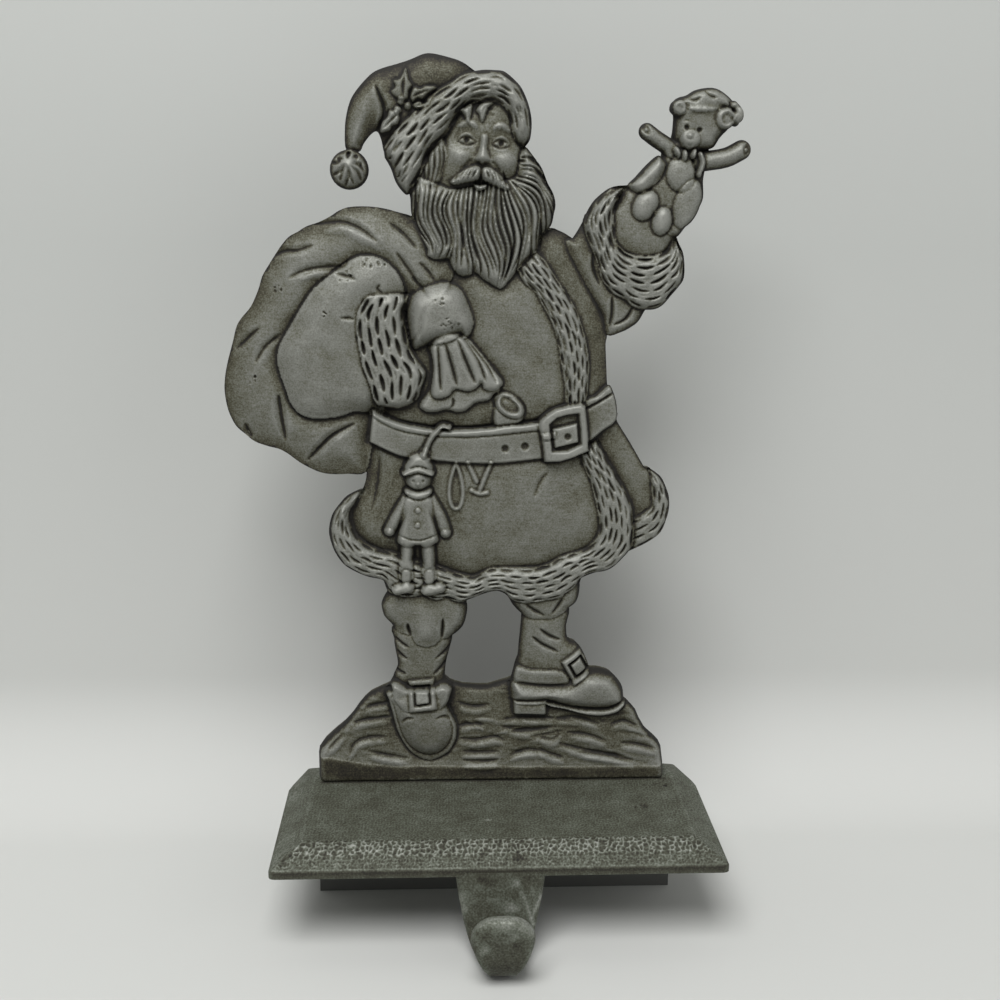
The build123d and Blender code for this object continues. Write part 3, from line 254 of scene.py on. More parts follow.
buckle([(-23.8, 34.9), (-16.7, 35.6), (-15.8, 27.6), (-23.4, 26.9)],
       [(-22.1, 33.1), (-18.1, 33.5), (-17.7, 29.4), (-21.8, 28.9)], rise=0.9)
LEFT_TROUSER = [(-27, 63), (-29.3, 60), (-30.6, 57.5), (-30.8, 55.7), (-30.1, 53), (-28.2, 50.8),
                (-27, 49.4), (-24.1, 48.2), (-22.9, 48), (-21.2, 45.4), (-18.6, 44.7), (-16.3, 45.3),
                (-14.7, 46.8), (-13.3, 46.8), (-11.1, 47.7), (-8.9, 49.9), (-8, 52.3), (-7.6, 54.9),
                (-7.8, 57.2), (-9, 63)]
form(curve(LEFT_TROUSER, closed=True), top=6.4, roll=3.2, crown=0.8, crease=0.25)
swell(-18.9, 49.5, half_width=5.5, half_height=7.0, rise=0.8)
for crease in ([(-23.7, 51.6), (-23.6, 50), (-22.9, 47.8)], [(-14.2, 53), (-14.3, 50), (-14.7, 46.8)]):
    fold(crease, width=1.5, depth=1.2)

RIGHT_SHAFT = [(7.2, 56), (7.1, 53.4), (6.9, 50), (6.5, 45.3), (6.2, 41.5), (5.2, 38.2), (4.9, 32),
               (14, 30), (26, 33), (26, 38), (23.3, 44), (20.7, 45.6), (19.7, 47), (19.5, 50), (19.4, 56)]
form(curve(RIGHT_SHAFT, closed=True), top=6.0, roll=3.0, crown=0.8)
for crease in ([(12, 49.7), (14.6, 47.6), (18, 46.2)], [(10, 47.4), (13, 45), (17.6, 42.8)]):
    fold(crease, width=1.8, depth=1.0)
HEEL = [(5, 29), (14.4, 29), (14.3, 24.6), (5.2, 24.8)]
form(corners(HEEL), top=8.0, roll=0.8, crease=0.3)
RIGHT_WELT = [(14.2, 28.4), (19.2, 27.2), (24.8, 26.3), (30.3, 26.1), (33.3, 26.9), (36, 28.4), (35.9, 27),
              (33.7, 25.1), (30.3, 24.2), (26.6, 24.3), (22.9, 25.1), (19.2, 26.2), (14.7, 27.2)]
form(curve(RIGHT_WELT, closed=True), top=8.2, roll=0.7, crease=0.35)
RIGHT_UPPER = [(4.1, 32.4), (4.9, 35), (8, 34.1), (11.7, 33.6), (16.2, 33.4), (20.3, 34.1), (24, 36.5),
               (27.2, 37.1), (29.6, 36.9), (32.2, 36), (34, 34.3), (35.3, 32.2), (35.8, 30), (35.6, 27.9),
               (33.3, 26.7), (30.3, 25.9), (24.8, 26.1), (19.2, 27), (14.7, 28.2), (9.9, 27.8), (5, 28.5),
               (4.4, 30.5)]
form(curve(RIGHT_UPPER, closed=True), top=8.0, roll=3.4, crown=0.9, crease=0.22)
RIGHT_STRAP = [(5.7, 38.8), (10, 37.9), (18.8, 37.2), (20.6, 33.9), (16.2, 33.3), (11.7, 33.5), (8, 34),
               (5, 34.7)]
form(curve(RIGHT_STRAP, closed=True), top=7.4, roll=1.1, crease=0.22)
buckle([(18.1, 40.1), (23.4, 43.8), (27.2, 37.3), (21.6, 33.2)],
       [(20.3, 39.3), (23.4, 41.6), (25.4, 37.9), (22.2, 35.7)], rise=1.2)
RIGHT_TROUSER = [(3, 63), (2.8, 59.6), (3.9, 57.5), (5, 55.7), (7.3, 53.4), (9.9, 52.5), (12.9, 52.3),
                 (15.1, 52.4), (17.3, 53.3), (19.5, 54.6), (21.8, 56.4), (22.7, 58.7), (22.9, 62), (22, 66)]
form(curve(RIGHT_TROUSER, closed=True), top=6.6, roll=2.6, crown=0.6, crease=0.25)
for crease in ([(8, 56.8), (10.4, 55), (13.4, 53.4)], [(18.2, 58.4), (16.8, 56), (15.2, 53.8)]):
    fold(crease, width=1.8, depth=0.9)

# Coat: cast with the figure. A full-skirted coat with a fur trim down its front and round its hem,
# and a flap of the skirt that swings out behind on one side.
TORSO = [(-22, 158), (-12, 155), (0, 154), (12, 156.2), (15.4, 155.6), (18.1, 154.2), (19.4, 152.8),
         (22, 147), (25.3, 139), (28.2, 132), (28.4, 129), (28.1, 127), (28.3, 123.5), (28.7, 117.5),
         (29, 112), (28, 100), (0, 97), (-33, 100), (-33, 112), (-32, 140)]
form(curve(TORSO, closed=True), top=5.4, roll=6.0, crown=2.1)
FLAP = [(22, 104), (28, 108), (31.6, 109), (31.6, 107), (32.7, 105), (35, 101.5), (37.3, 97.7),
        (39.2, 94.6), (41.5, 92.3), (43.6, 89), (44, 83), (42, 78), (36, 74), (30, 80), (25, 94)]
form(curve(FLAP, closed=True), top=5.4, roll=2.2)
SKIRT = [(-33.1, 103), (-34.2, 93), (-34.6, 90.4), (-36, 87), (-38.6, 83), (-39.4, 79), (-38, 74),
         (-33, 70), (-18, 64.5), (-6, 61), (5, 62), (18, 65), (28, 69), (33, 74), (35, 82), (32, 90),
         (27, 100), (20, 105), (-10, 105)]
form(curve(SKIRT, closed=True), top=5.6, roll=7.0, crown=2.0, moat=0.4)
for crease in ([(-30.6, 98), (-31.4, 90), (-33, 83)], [(13.6, 93.6), (11.4, 90.6), (10, 86.8)]):
    fold(crease, width=2.6, depth=0.55)


def even(line, count):
    """The same line with evenly spaced points."""
    run = np.concatenate([[0], np.cumsum(np.hypot(*np.diff(line, axis=0).T))])
    at = np.linspace(0, run[-1], count)
    return np.stack([np.interp(at, run, line[:, 0]), np.interp(at, run, line[:, 1])], 1).astype(np.float32)


SHORTEST_STROKE, STEPS_ALONG = 1.2, 80


def fur(edge, other_edge, rows, length=4.2, width=0.85, depth=0.75):
    """Chisel strokes in staggered rows that run with a fur trim, with finer ones between them."""
    a, b = (even(curve(points), STEPS_ALONG) for points in (edge, other_edge))
    fine = 2 * rows + 1
    for row in range(rows + fine):
        bold = row < rows
        share = (row + 0.5) / rows if bold else (row - rows) / (fine - 1)
        line = a * (1 - share) + b * share
        run = np.concatenate([[0], np.cumsum(np.hypot(*np.diff(line, axis=0).T))])
        pitch = length * (1.14 if bold else 0.9)
        start = -pitch * (0.25 + 0.5 * (row % 2)) + chance.uniform(0, 0.8)
        while start < run[-1]:
            size = length * (chance.uniform(0.75, 1.1) if bold else chance.uniform(0.4, 0.8))
            at = np.clip([start, start + size / 2, start + size], 0, run[-1])
            if at[2] - at[0] > SHORTEST_STROKE:
                stroke = np.stack([np.interp(at, run, line[:, 0]), np.interp(at, run, line[:, 1])], 1)
                stroke[1] += chance.uniform(-0.25, 0.25, 2)
                wide, deep = (width, depth * 1.3) if bold else (width * 0.7, depth * 0.25)
                wide, deep = wide * chance.uniform(0.8, 1.2), deep * chance.uniform(0.75, 1.15)
                groove(curve(stroke, steps=3), width=wide, depth=deep)
            start += pitch * chance.uniform(0.9, 1.1)


def band(edge, other_edge):
    """The closed line of a trim between its two edges."""
    return np.vstack([curve(edge), curve(other_edge)[::-1]])


FLAP_FUR_INNER = [(40.2, 94), (41, 92.3), (41.3, 89.2), (41.7, 85.4), (41.5, 83.5), (39.6, 81.9),
                  (36.8, 80)]
FLAP_FUR_OUTER = [(40.4, 94.2), (42.7, 92.7), (44.2, 91.2), (45.4, 88.8), (46.3, 86.2), (46.5, 83),
                  (45.8, 79.6), (44.6, 76.5), (42.7, 74.6), (39.6, 72.7), (36, 71)]
form(band(FLAP_FUR_INNER, FLAP_FUR_OUTER), top=6.9, roll=1.8, crease=0.22)
fur(FLAP_FUR_INNER, FLAP_FUR_OUTER, rows=4, length=4.6, width=0.8)
COLLAR_TRIM = [(4.6, 146), (6.5, 142.7), (9.2, 140.4), (10.8, 138), (12.7, 134.6), (14.2, 131.5),
               (15.4, 127.7), (16.2, 123.5), (16.9, 119.6), (17.5, 115.8), (17.8, 109)]
FRONT_TRIM = [(9.4, 150.8), (12.3, 147.7), (15.4, 143), (18.1, 139.2), (20.4, 135.4), (21.9, 131.2),
              (23.1, 127), (23.8, 122.3), (23.8, 118.5), (23.3, 109)]
form(band(COLLAR_TRIM, FRONT_TRIM), top=8.3, roll=2.2, crease=0.2, moat=0.25)
groove(curve(COLLAR_TRIM) + (1.2, 0.2), width=0.7, depth=0.6, pointed=False)
fur(COLLAR_TRIM, FRONT_TRIM, rows=6, length=4.4, width=0.75)
HEM_INNER = [(21.5, 98.5), (23.5, 93.8), (25, 90.4), (26, 86.5), (26.9, 83), (27.5, 79.2), (27.3, 76.5),
             (25, 73), (21.9, 71.5), (18.1, 70.4), (14.2, 68.1), (10.8, 67.1), (4.9, 67.2), (-1.5, 66.9),
             (-5.4, 64.8), (-7.9, 65), (-11.8, 66), (-15, 67.4), (-17.9, 68), (-26.9, 71.3), (-30.8, 72),
             (-34.2, 73.5), (-36.5, 75.4), (-37.9, 77.7), (-38.5, 80), (-38.1, 83), (-36.5, 85.4),
             (-35.2, 87.6)]
HEM_OUTER = [(26.5, 101.9), (28.8, 97.3), (31.9, 92.3), (34.2, 88.5), (36.2, 84.2), (36.9, 80),
             (37.1, 75.8), (36.6, 72), (34.2, 68.8), (31.9, 66.5), (29.6, 65.4), (26.5, 64.8), (22.7, 63.1),
             (21, 61.3), (18.8, 59.8), (17.7, 58.7), (15.1, 58.1), (11.7, 57.5), (8.4, 57.2), (5.8, 57.4),
             (3.9, 57.9), (2.4, 59.2), (0.2, 59.9), (-2.9, 59.2), (-6.7, 57.7), (-8.5, 57.2), (-11.1, 57.7),
             (-13, 58.7), (-15.6, 58.1), (-17.8, 58.7), (-19.7, 59.4), (-24, 59), (-28.8, 60), (-30, 62.5),
             (-30.8, 63.3), (-34.6, 64.2), (-38.1, 65.8), (-40.8, 67.7), (-42.9, 70.8), (-44, 73.8),
             (-44.5, 76.5), (-44.2, 79.2), (-43.3, 81.9), (-41.5, 84.4), (-39.6, 86.5), (-37.3, 87.7),
             (-35, 88.2)]
form(band(HEM_INNER, HEM_OUTER), top=8.2, roll=2.4, crease=0.2, moat=0.3)
fur(HEM_INNER[:9], HEM_OUTER[:13], rows=7, length=4.8, width=0.8)
fur(HEM_INNER[8:19], HEM_OUTER[12:31], rows=6, length=4.2, width=0.75)
fur(HEM_INNER[18:], HEM_OUTER[30:], rows=6, length=4.8, width=0.8)

# Sack and the arm that carries it: cast with the figure. The sack hangs behind the shoulder, its
# neck comes over to the mitten, and the gathered cloth falls open below the fist.
SACK = [(-20, 158), (-25.8, 160), (-29.7, 160.9), (-33.5, 161.2), (-37.4, 161), (-40, 160.1),
        (-42.2, 158.7), (-45, 157.3), (-48.2, 156.2), (-50.5, 154.8), (-52.8, 153.5), (-55.1, 150.8),
        (-58.2, 146.2), (-59.7, 143.7), (-60.8, 140.4), (-62.8, 136.2), (-65.1, 133.5), (-66.6, 131.2),
        (-67.8, 127), (-69.1, 122.7), (-70, 118.8), (-70.4, 115), (-70, 111), (-69.2, 108.1),
        (-67.7, 105.2), (-65.4, 103.1), (-63.1, 101.2), (-59.6, 99.9), (-56.9, 99.2), (-54.6, 97.9),
        (-51.9, 95.8), (-49.2, 94.2), (-46.2, 92.9), (-43.1, 92.4), (-39.2, 92.5), (-34.4, 93),
        (-32.6, 100), (-30, 110), (-22, 128), (-13, 141), (-11, 147), (-14, 152)]
form(curve(SACK, closed=True), top=5.8, roll=9.0, crown=1.6, moat=0.5)
for crease in ([(-56.6, 148.6), (-54, 150), (-50.5, 150.3), (-46.4, 151.7)],
               [(-53, 143.4), (-48.9, 145.4), (-44.3, 146.3), (-39, 146.5)],
               [(-46.4, 156.6), (-40, 157.4), (-36.2, 156.5), (-33.5, 155), (-30.4, 152.6)],
               [(-27.6, 157.4), (-23.9, 154.6), (-20.4, 150.8)],
               [(-25.8, 150.2), (-23.2, 146.5), (-20.4, 142.4)], [(-20, 147.6), (-18, 145.6), (-16, 142.8)],
               [(-67, 125.2), (-63.5, 128.5), (-60.6, 131)], [(-62, 122), (-59.3, 126.2), (-55, 129.6)],
               [(-65.4, 106.4), (-64.8, 104.4), (-63.8, 102.4)],
               [(-22, 144), (-19.6, 141.4), (-17.4, 138.6)]):
    fold(crease, width=2.8, depth=0.8)
for crease in ([(-56.4, 114), (-55.9, 108.5), (-55, 101.6)],
               [(-49.6, 96.2), (-45.8, 100.4), (-42.3, 103.5), (-36.8, 106.4)]):
    fold(crease, width=3.4, depth=1.3)
groove(curve([(-44, 155), (-38.6, 155.4), (-34, 153.4), (-29.6, 150.6)]), width=3.0, depth=-0.3)
groove(curve([(-50, 143), (-45, 144.4), (-40, 144.4)]), width=2.0, depth=-0.3)
SLEEVE = [(-40, 146.2), (-45, 142.3), (-47.4, 140), (-50.5, 135.4), (-52.8, 131.5), (-55.5, 127),
          (-56.4, 123), (-55.8, 119.2), (-54.5, 115.5), (-53.5, 112), (-51.5, 109.2), (-48.8, 107.9),
          (-45.8, 107.6), (-42.3, 107.9), (-39.6, 108.5), (-37.3, 109.3), (-33.5, 109.2), (-31.5, 110),
          (-28, 114), (-25, 124), (-23.9, 138), (-23.7, 140), (-24.3, 142.7), (-25.5, 145), (-27.4, 147),
          (-29.7, 148.5), (-32.4, 149.2), (-35.1, 149), (-37.4, 148)]
form(curve(SLEEVE, closed=True), top=8.6, roll=7.0, crown=1.1, crease=0.3, moat=1.0)
for crease in ([(-41, 144.8), (-38.4, 144.2), (-35.8, 143.4)], [(-29.8, 142.4), (-30.4, 141), (-29, 139.9)],
               [(-40, 133.6), (-38, 133.8), (-36.4, 133.4)],
               [(-37.4, 148.2), (-39.2, 146.4), (-42.4, 145)]):
    fold(crease, width=1.6, depth=0.7)
NECK_BACK = [(-17.4, 127), (-17, 123), (-17.4, 116), (-20.2, 111.4), (-18.8, 109.6), (-16.2, 109.3),
             (-13, 110), (-10.8, 109.4), (-8.5, 109.6), (-6.9, 110.8), (-5.4, 111.9), (-2.3, 112.5),
             (-0.8, 114), (0.8, 115.2), (-1, 119), (-8, 127)]
form(curve(NECK_BACK, closed=True), top=8.4, roll=1.5, crease=0.25, moat=0.4)
fold([(-11.6, 113.6), (-11.4, 111.8), (-12.4, 110.2)], width=1.2, depth=0.8)
NECK_FRONT = [(-17, 127.4), (-16.4, 121), (-17.2, 115.4), (-16.4, 113.4), (-14.4, 113.2), (-12.4, 114),
              (-10.8, 115.6), (-7.7, 115), (-5.4, 115.9), (-4.2, 117.2), (-3.4, 115.6), (-1, 115.2),
              (1, 116), (1.4, 117.6), (-0.8, 120.4), (-3.1, 123.5), (-5.4, 126.2), (-7.9, 128.8),
              (-12, 130)]
form(curve(NECK_FRONT, closed=True), top=9.4, roll=1.6, crease=0.25, moat=0.4)
for crease in ([(-15.4, 127), (-15, 121), (-14.6, 115)], [(-13.4, 127.4), (-11.6, 121), (-10.4, 116.4)],
               [(-10.4, 128.6), (-7.6, 121.6), (-5.6, 117)], [(-8.8, 128.8), (-4.8, 122.6), (-3, 117.6)],
               [(-8, 128.4), (-3, 122), (0, 117)]):
    fold(crease, width=2.2, depth=1.2)
CUFF_LEFT = [(-33.6, 138.6), (-35.5, 135.4), (-35.9, 132.3), (-35.7, 128.5), (-35.1, 124.6), (-34.5, 121.5),
             (-33.2, 117.7), (-32.4, 115), (-31.6, 111.7), (-29.7, 110.4), (-26, 110.2)]
CUFF_RIGHT = [(-32.4, 139.4), (-29.7, 139.6), (-25.8, 139.8), (-23, 139.4), (-22.7, 138), (-23.5, 135.4),
              (-23.5, 133), (-23, 130), (-22.4, 127), (-21.2, 123.8), (-18.6, 120.2), (-18.4, 118.8),
              (-19.3, 116.2), (-20.5, 113), (-22.8, 111.2), (-25.6, 110.2)]
form(band(CUFF_LEFT, CUFF_RIGHT), top=9.9, roll=3.0, crease=0.3, moat=0.5)
fur(CUFF_LEFT[:9], CUFF_RIGHT[3:14], rows=6, length=5.2, width=1.15, depth=1.2)
MITTEN = [(-21.9, 126), (-23.4, 133.8), (-22.5, 138.5), (-19.6, 140.8), (-16.5, 142.1), (-13.5, 142.7),
          (-10.8, 141.9), (-8.8, 140), (-7.3, 136.5), (-6.3, 133.5), (-6.3, 131.5), (-7.3, 129.2),
          (-8.5, 128.5), (-9.4, 129.6), (-10.8, 128.7), (-13.1, 127.7), (-17.7, 126.9), (-19.6, 126.2)]
form(curve(MITTEN, closed=True), top=10.1, roll=5.5, crown=0.6, crease=0.25, moat=0.5)
groove(curve([(-19.2, 127.4), (-20, 132), (-18.4, 137.4)]), width=2.2, depth=0.35)

# Belt, its buckle and the horn tucked behind it: cast with the figure. A plain strap with a piped
# upper edge, punched holes and a bent frame buckle.
HORN = [(-0.7, 111), (-0.5, 105), (5, 105.4), (7.2, 108.6), (6, 112), (1, 113.4)]
form(curve(HORN, closed=True), top=8.0, roll=1.4, crease=0.25)
lay(oval(3.1, 111.3, 4.5, 2.8, turn=-35), rise=0.8, roll=0.9, crease=0.4)
lay(oval(3.1, 111.3, 3.0, 1.75, turn=-35), rise=-1.3, roll=0.7, crease=-0.1)
BELT_TOP = [(-32.4, 110), (-28.8, 108.1), (-25, 106.7), (-21.2, 105.8), (-15.8, 105), (-8, 104.9),
            (0, 105.6), (11.4, 107)]
BELT_SEAM = [(-33.2, 108.9), (-28.8, 106.3), (-25, 104.8), (-21.2, 104), (-16.2, 103.3), (-5, 103.2),
             (11, 104.8)]
BELT_FOOT = [(-33.4, 101.4), (-28.8, 99.2), (-25, 97.7), (-20.8, 97), (-10, 96), (0, 95.8), (12.4, 97.1)]
form(band(BELT_TOP, BELT_FOOT), top=8.1, roll=0.7, crease=0.35, gap=0.8)
lay(band(BELT_TOP, BELT_SEAM), rise=0.45, roll=0.75, crease=0.4, gap=0.45)
BELT_END = [(22.6, 111.4), (26, 113.8), (29, 116.3), (30.4, 114.6), (31.5, 110.8), (31.3, 107),
            (28.1, 104.4), (23.6, 101.6)]
form(curve(BELT_END, closed=True), top=7.0, roll=0.8, crease=0.25)
groove(curve([(22.8, 110), (27, 112.4), (30.8, 114.8)]), width=0.9, depth=0.9, pointed=False)
for x, z in ((2.1, 99.9), (7.3, 100.5)):
    hole(x, z, radius=0.95, depth=0.9)
BUCKLE_OUTER = [(10.8, 107.3), (12.3, 108.8), (15, 110.6), (18.5, 111.5), (21.9, 111.9), (23, 111.2),
                (23.5, 107.3), (24, 102.7), (24.2, 99.2), (20.4, 97.5), (16.5, 96.3), (12.3, 96.2),
                (11.7, 100.8), (10.8, 105.4)]
BUCKLE_INNER = [(13.3, 106.5), (15.4, 108.4), (18.1, 109.2), (21.3, 109.6), (21.9, 105.4), (22.2, 101),
                (18.5, 99.2), (14.2, 99)]
form(corners(BUCKLE_OUTER), top=9.5, roll=0.8, crease=0.35)
lay(corners(BUCKLE_INNER), rise=-1.9, roll=0.6, crease=0.0)
lay(corners([(14.3, 105.2), (20.9, 106.8), (21.4, 101.6), (15, 100)]), rise=1.3, roll=0.5, crease=0.3)
lay(corners([(11.4, 104.2), (15.2, 104.4), (15.2, 102.6), (11.6, 102.4)]), rise=0.7, roll=0.5, crease=0.4)
hole(18.4, 103.2, radius=0.85, depth=0.9)

# Things that hang from the belt: cast with the figure. A plain toy doll on a cord, a closed loop
# of cord and a small strap with a toggle.
TEARDROP = [(-10.7, 96), (-9.4, 92), (-8.9, 88), (-9.5, 84.7), (-10.7, 83.7), (-11.9, 84.7), (-12.5, 88),
            (-12, 92)]
lay(oval(-10.7, 89.4, 2.7, 6.6), rise=-0.35, roll=1.5, crease=0.0)
groove(curve(TEARDROP + TEARDROP[:1]), width=1.2, depth=-0.95, pointed=False)
for strap in ([(-7.6, 96), (-6.4, 93.4), (-5.3, 91)], [(-1.5, 96), (-3, 92.4), (-4.4, 88.8)],
              [(-6.6, 88.6), (-4.6, 87.8), (-2.6, 88)]):
    groove(curve(strap), width=2.6, depth=0.35, pointed=False)
    groove(curve(strap), width=1.5, depth=-1.0, pointed=False)


def limb(points, width, top, crease=0.5, gap=0.5):
    """A round limb along a line, with its ends rounded."""
    line = curve(points)
    part = near(line, width)
    distance, _, _ = measure(line, across[part], up[part])
    depth = width / 2 - distance
    base = np.maximum(relief[part], RIM)
    raised = base + np.maximum(top - base, 0) * rounded(depth, width / 2)
    cut = relief[part] - crease * np.exp(-((depth / gap) ** 2))
    relief[part] = np.where(depth > 0, raised, np.where(relief[part] > 0, cut, 0))
    within[part] = np.maximum(within[part], depth)


limb([(-19.2, 98), (-17.4, 102.4), (-14.6, 105.6), (-12.4, 105.4)], width=1.5, top=9.4)
for leg in ([(-23.6, 74), (-23.9, 69), (-24, 65)], [(-18.3, 74), (-18, 69), (-17.8, 65)]):
    limb(leg, width=3.8, top=8.9)
for ankle in ([(-24, 66), (-24, 63), (-24.2, 61.8)], [(-17.8, 66), (-17.8, 63), (-17.4, 61.8)]):
    limb(ankle, width=2.4, top=9.0)
for shoe in ([(-26.4, 61.4), (-25, 61.8), (-23.4, 62)], [(-18.6, 61.2), (-17, 61.4), (-15, 62)]):
    limb(shoe, width=3.2, top=9.6)
for arm in ([(-23.6, 86), (-26.2, 81.6), (-28.2, 77.8)], [(-17.4, 86), (-15, 81.6), (-13.6, 77.4)]):
    limb(arm, width=3.4, top=8.9)
for x, z in ((-28.4, 77.2), (-13.4, 76.8)):
    bead(x, z, radius=1.6, rise=0.6)
TUNIC = [(-23.4, 88), (-20.6, 88.6), (-17.6, 88), (-16.6, 82), (-15.2, 75), (-18, 73.6), (-20.8, 73.4),
         (-24, 73.6), (-26.4, 74.6), (-24.8, 82)]
form(curve(TUNIC, closed=True), top=9.4, roll=1.6, crease=0.25)
groove(curve([(-25.6, 76.6), (-20.8, 75.4), (-16, 76.8)]), width=0.7, depth=0.5, pointed=False)
for x, z in ((-20.7, 83.6), (-20.8, 79.6)):
    bead(x, z, radius=0.8, rise=0.35)
limb([(-23.4, 88.4), (-20.6, 87.6), (-17.8, 88.4)], width=2.0, top=10.0)
form(oval(-20.6, 92, 3.5, 3.9), top=9.8, roll=3.2, crease=0.22)
CAP = [(-24.6, 93.4), (-20.6, 94.4), (-16.6, 93.4), (-17, 96.4), (-18.6, 98.8), (-20.4, 99), (-23, 97.6)]
form(curve(CAP, closed=True), top=10.1, roll=1.8, crease=0.22)
limb([(-24.2, 93.4), (-20.6, 94.6), (-17, 93.4)], width=1.6, top=10.4)
bead(-18.8, 99, radius=1.4, rise=1.0)
for offset in (-1.3, 1.3):
    hole(-20.6 + offset, 91.6, radius=0.42, depth=0.5)
groove(curve([(-21.6, 89.7), (-20.6, 89.3), (-19.6, 89.7)]), width=0.5, depth=0.3)
bead(-20.6, 90.7, radius=0.6, rise=0.35)

# Raised arm and the teddy bear it holds up: cast with the figure. The cuff is fur like the trims,
# the mitten's thumb lies across the bear, and the bear wears a cap with a bobble.
RAISED_SLEEVE = [(17.2, 152.4), (18.9, 153.8), (21.3, 157.8), (22.1, 159.8), (25, 158), (33, 146),
                 (40, 139), (38, 135.6), (36.4, 132.8), (34.4, 131.2), (32, 130), (28.5, 129.2),
                 (27.4, 133.6), (25.3, 137.6), (20.9, 145)]
form(curve(RAISED_SLEEVE, closed=True), top=5.7, roll=2.4, crown=0.5, crease=0.3, gap=0.9)
for crease in ([(28.8, 131.4), (29.4, 135), (29.2, 139.4)], [(29.6, 131.8), (33, 133.6), (34.8, 136.8)],
               [(24, 150), (24.4, 146), (26, 142)]):
    fold(crease, width=1.7, depth=1.0)
RAISED_INNER = [(33.4, 167), (31.2, 165), (30, 162.6), (29.2, 159.8), (29.4, 156.2), (30, 153), (31.6, 151),
                (34, 149.9), (36.8, 149.5), (39.6, 149.7), (42.4, 150.7), (44, 152.3), (45.6, 154.4)]
RAISED_OUTER = [(33, 166.9), (30.4, 166.8), (28, 166.2), (25.7, 164.6), (23.7, 162.6), (22.1, 159.8),
                (21.3, 157.8), (22.1, 154.6), (23.7, 151), (25.3, 147.5), (26.1, 144.3), (27.7, 141.9),
                (29.6, 139.9), (32.8, 138.3), (34.8, 136.6), (38, 135.8), (40.8, 136), (42.8, 137.2),
                (44.7, 139.5), (46.7, 141.9), (47.8, 143.9), (47.8, 147.5), (47.3, 150.3), (46.3, 152.3),
                (45.4, 154.2)]
PALM = [(32.4, 166.6), (30, 162.6), (28, 159.8), (28, 154), (31.6, 149), (36.8, 147.5), (42.4, 149),
        (45.1, 154.2), (47.4, 157), (48, 164), (40, 169), (35, 169)]
form(curve(PALM, closed=True), top=6.5, roll=2.4, crown=0.6)
form(band(RAISED_INNER, RAISED_OUTER), top=8.2, roll=3.0, crease=0.25, moat=0.4)
fur(RAISED_INNER, RAISED_OUTER, rows=7, length=5.0, width=0.85, depth=0.85)
BEAR_BODY = [(42, 177), (49.5, 176.5), (51.8, 172), (51.6, 168.2), (51.8, 164), (50.7, 161), (49.5, 158.6),
             (47.5, 156.6), (45.1, 154.2), (41, 157), (38, 163), (38.6, 167), (40.6, 171.6)]
form(curve(BEAR_BODY, closed=True), top=6.6, roll=2.4, crown=0.4, crease=0.22)
limb([(44, 175.4), (39.6, 178), (36.9, 179.9)], width=4.2, top=6.8)
limb([(51, 172.8), (57, 173.8), (60.9, 175.7)], width=4.9, top=7.0)
form(oval(45.6, 169.8, 3.7, 4.4), top=7.8, roll=3.4, crease=0.4)
form(oval(47.6, 162.4, 3.5, 6.2, turn=-18), top=7.7, roll=3.2, crease=0.3)
form(oval(36.9, 162, 3.1, 4.0, turn=-32), top=8.6, roll=2.9, crease=0.35)
form(oval(41.2, 158.2, 2.6, 3.6, turn=-12), top=8.5, roll=2.5, crease=0.35)
THUMB = [(32.4, 166.6), (34.4, 169), (36.8, 171.7), (39.6, 174.1), (41, 173.6), (41.8, 171.6),
         (40.6, 168.6), (38.4, 166.6), (35.6, 165)]
form(curve(THUMB, closed=True), top=8.0, roll=2.4, crease=0.3)
BEAR_HEAD = [(43.3, 180), (43.4, 183.3), (43.8, 186), (48, 188), (54, 187), (57.6, 184), (57.4, 181),
             (56.1, 179.5), (55.1, 178.3), (53.7, 176.2), (51, 175.5), (47.9, 175.1), (45, 176.2),
             (43.6, 178)]
form(curve(BEAR_HEAD, closed=True), top=7.4, roll=3.0, crown=0.4, crease=0.3)
form(oval(47.4, 178, 2.5, 2.4), top=8.4, roll=2.2, crease=0.22)
bead(47.2, 179, radius=0.75, rise=0.4)
groove(curve([(46.4, 177.2), (47.3, 176.6), (48.2, 177.2)]), width=0.55, depth=0.4)
for x, z in ((46.4, 181), (49.6, 180.4)):
    hole(x, z, radius=0.6, depth=0.8)
groove(curve([(45.4, 182.4), (46.4, 182.7), (47, 182.2)]), width=0.6, depth=0.3)
BEAR_CAP = [(42.9, 184.8), (42.8, 186), (43.4, 187.4), (44.7, 188.2), (46.3, 188.6), (48.3, 189.8),
            (50.7, 190.4), (53.1, 190.5), (55.1, 189.8), (57.1, 188.4), (58.7, 186.8), (60, 185.6),
            (57.5, 184.6), (54.6, 185.2), (49.1, 184.6), (45.4, 185.6), (43.8, 184.2)]
form(curve(BEAR_CAP, closed=True), top=7.9, roll=2.2, crease=0.25)
for x in np.linspace(45.4, 54.4, 6):
    swell(x, 185.2, half_width=1.3, half_height=1.1, rise=0.7)
for tuck in ([(50.4, 189.6), (52, 188.4), (53.6, 188)], [(46.6, 187.6), (48.2, 187.4), (49.6, 188.2)],
             [(56.4, 187.4), (57, 186.4), (56.6, 185.4)]):
    fold(tuck, width=1.4, depth=0.8)
for x, z, size in ((44.2, 185.6, 1.9), (56.2, 183.2, 2.7)):
    form(oval(x, z, size, size), top=8.5, roll=1.2)
    lay(oval(x + 0.1, z - 0.2, size * 0.62, size * 0.66), rise=-0.8, roll=0.9, crease=0.0)
    swell(x, z - 0.3, half_width=size * 0.5, half_height=size * 0.5, rise=0.4)
limb([(58.4, 186.4), (59.6, 184.9), (58.9, 182.4)], width=2.2, top=7.4)
form(oval(59.4, 184, 1.7, 1.9), top=7.9, roll=1.5, crease=0.4)
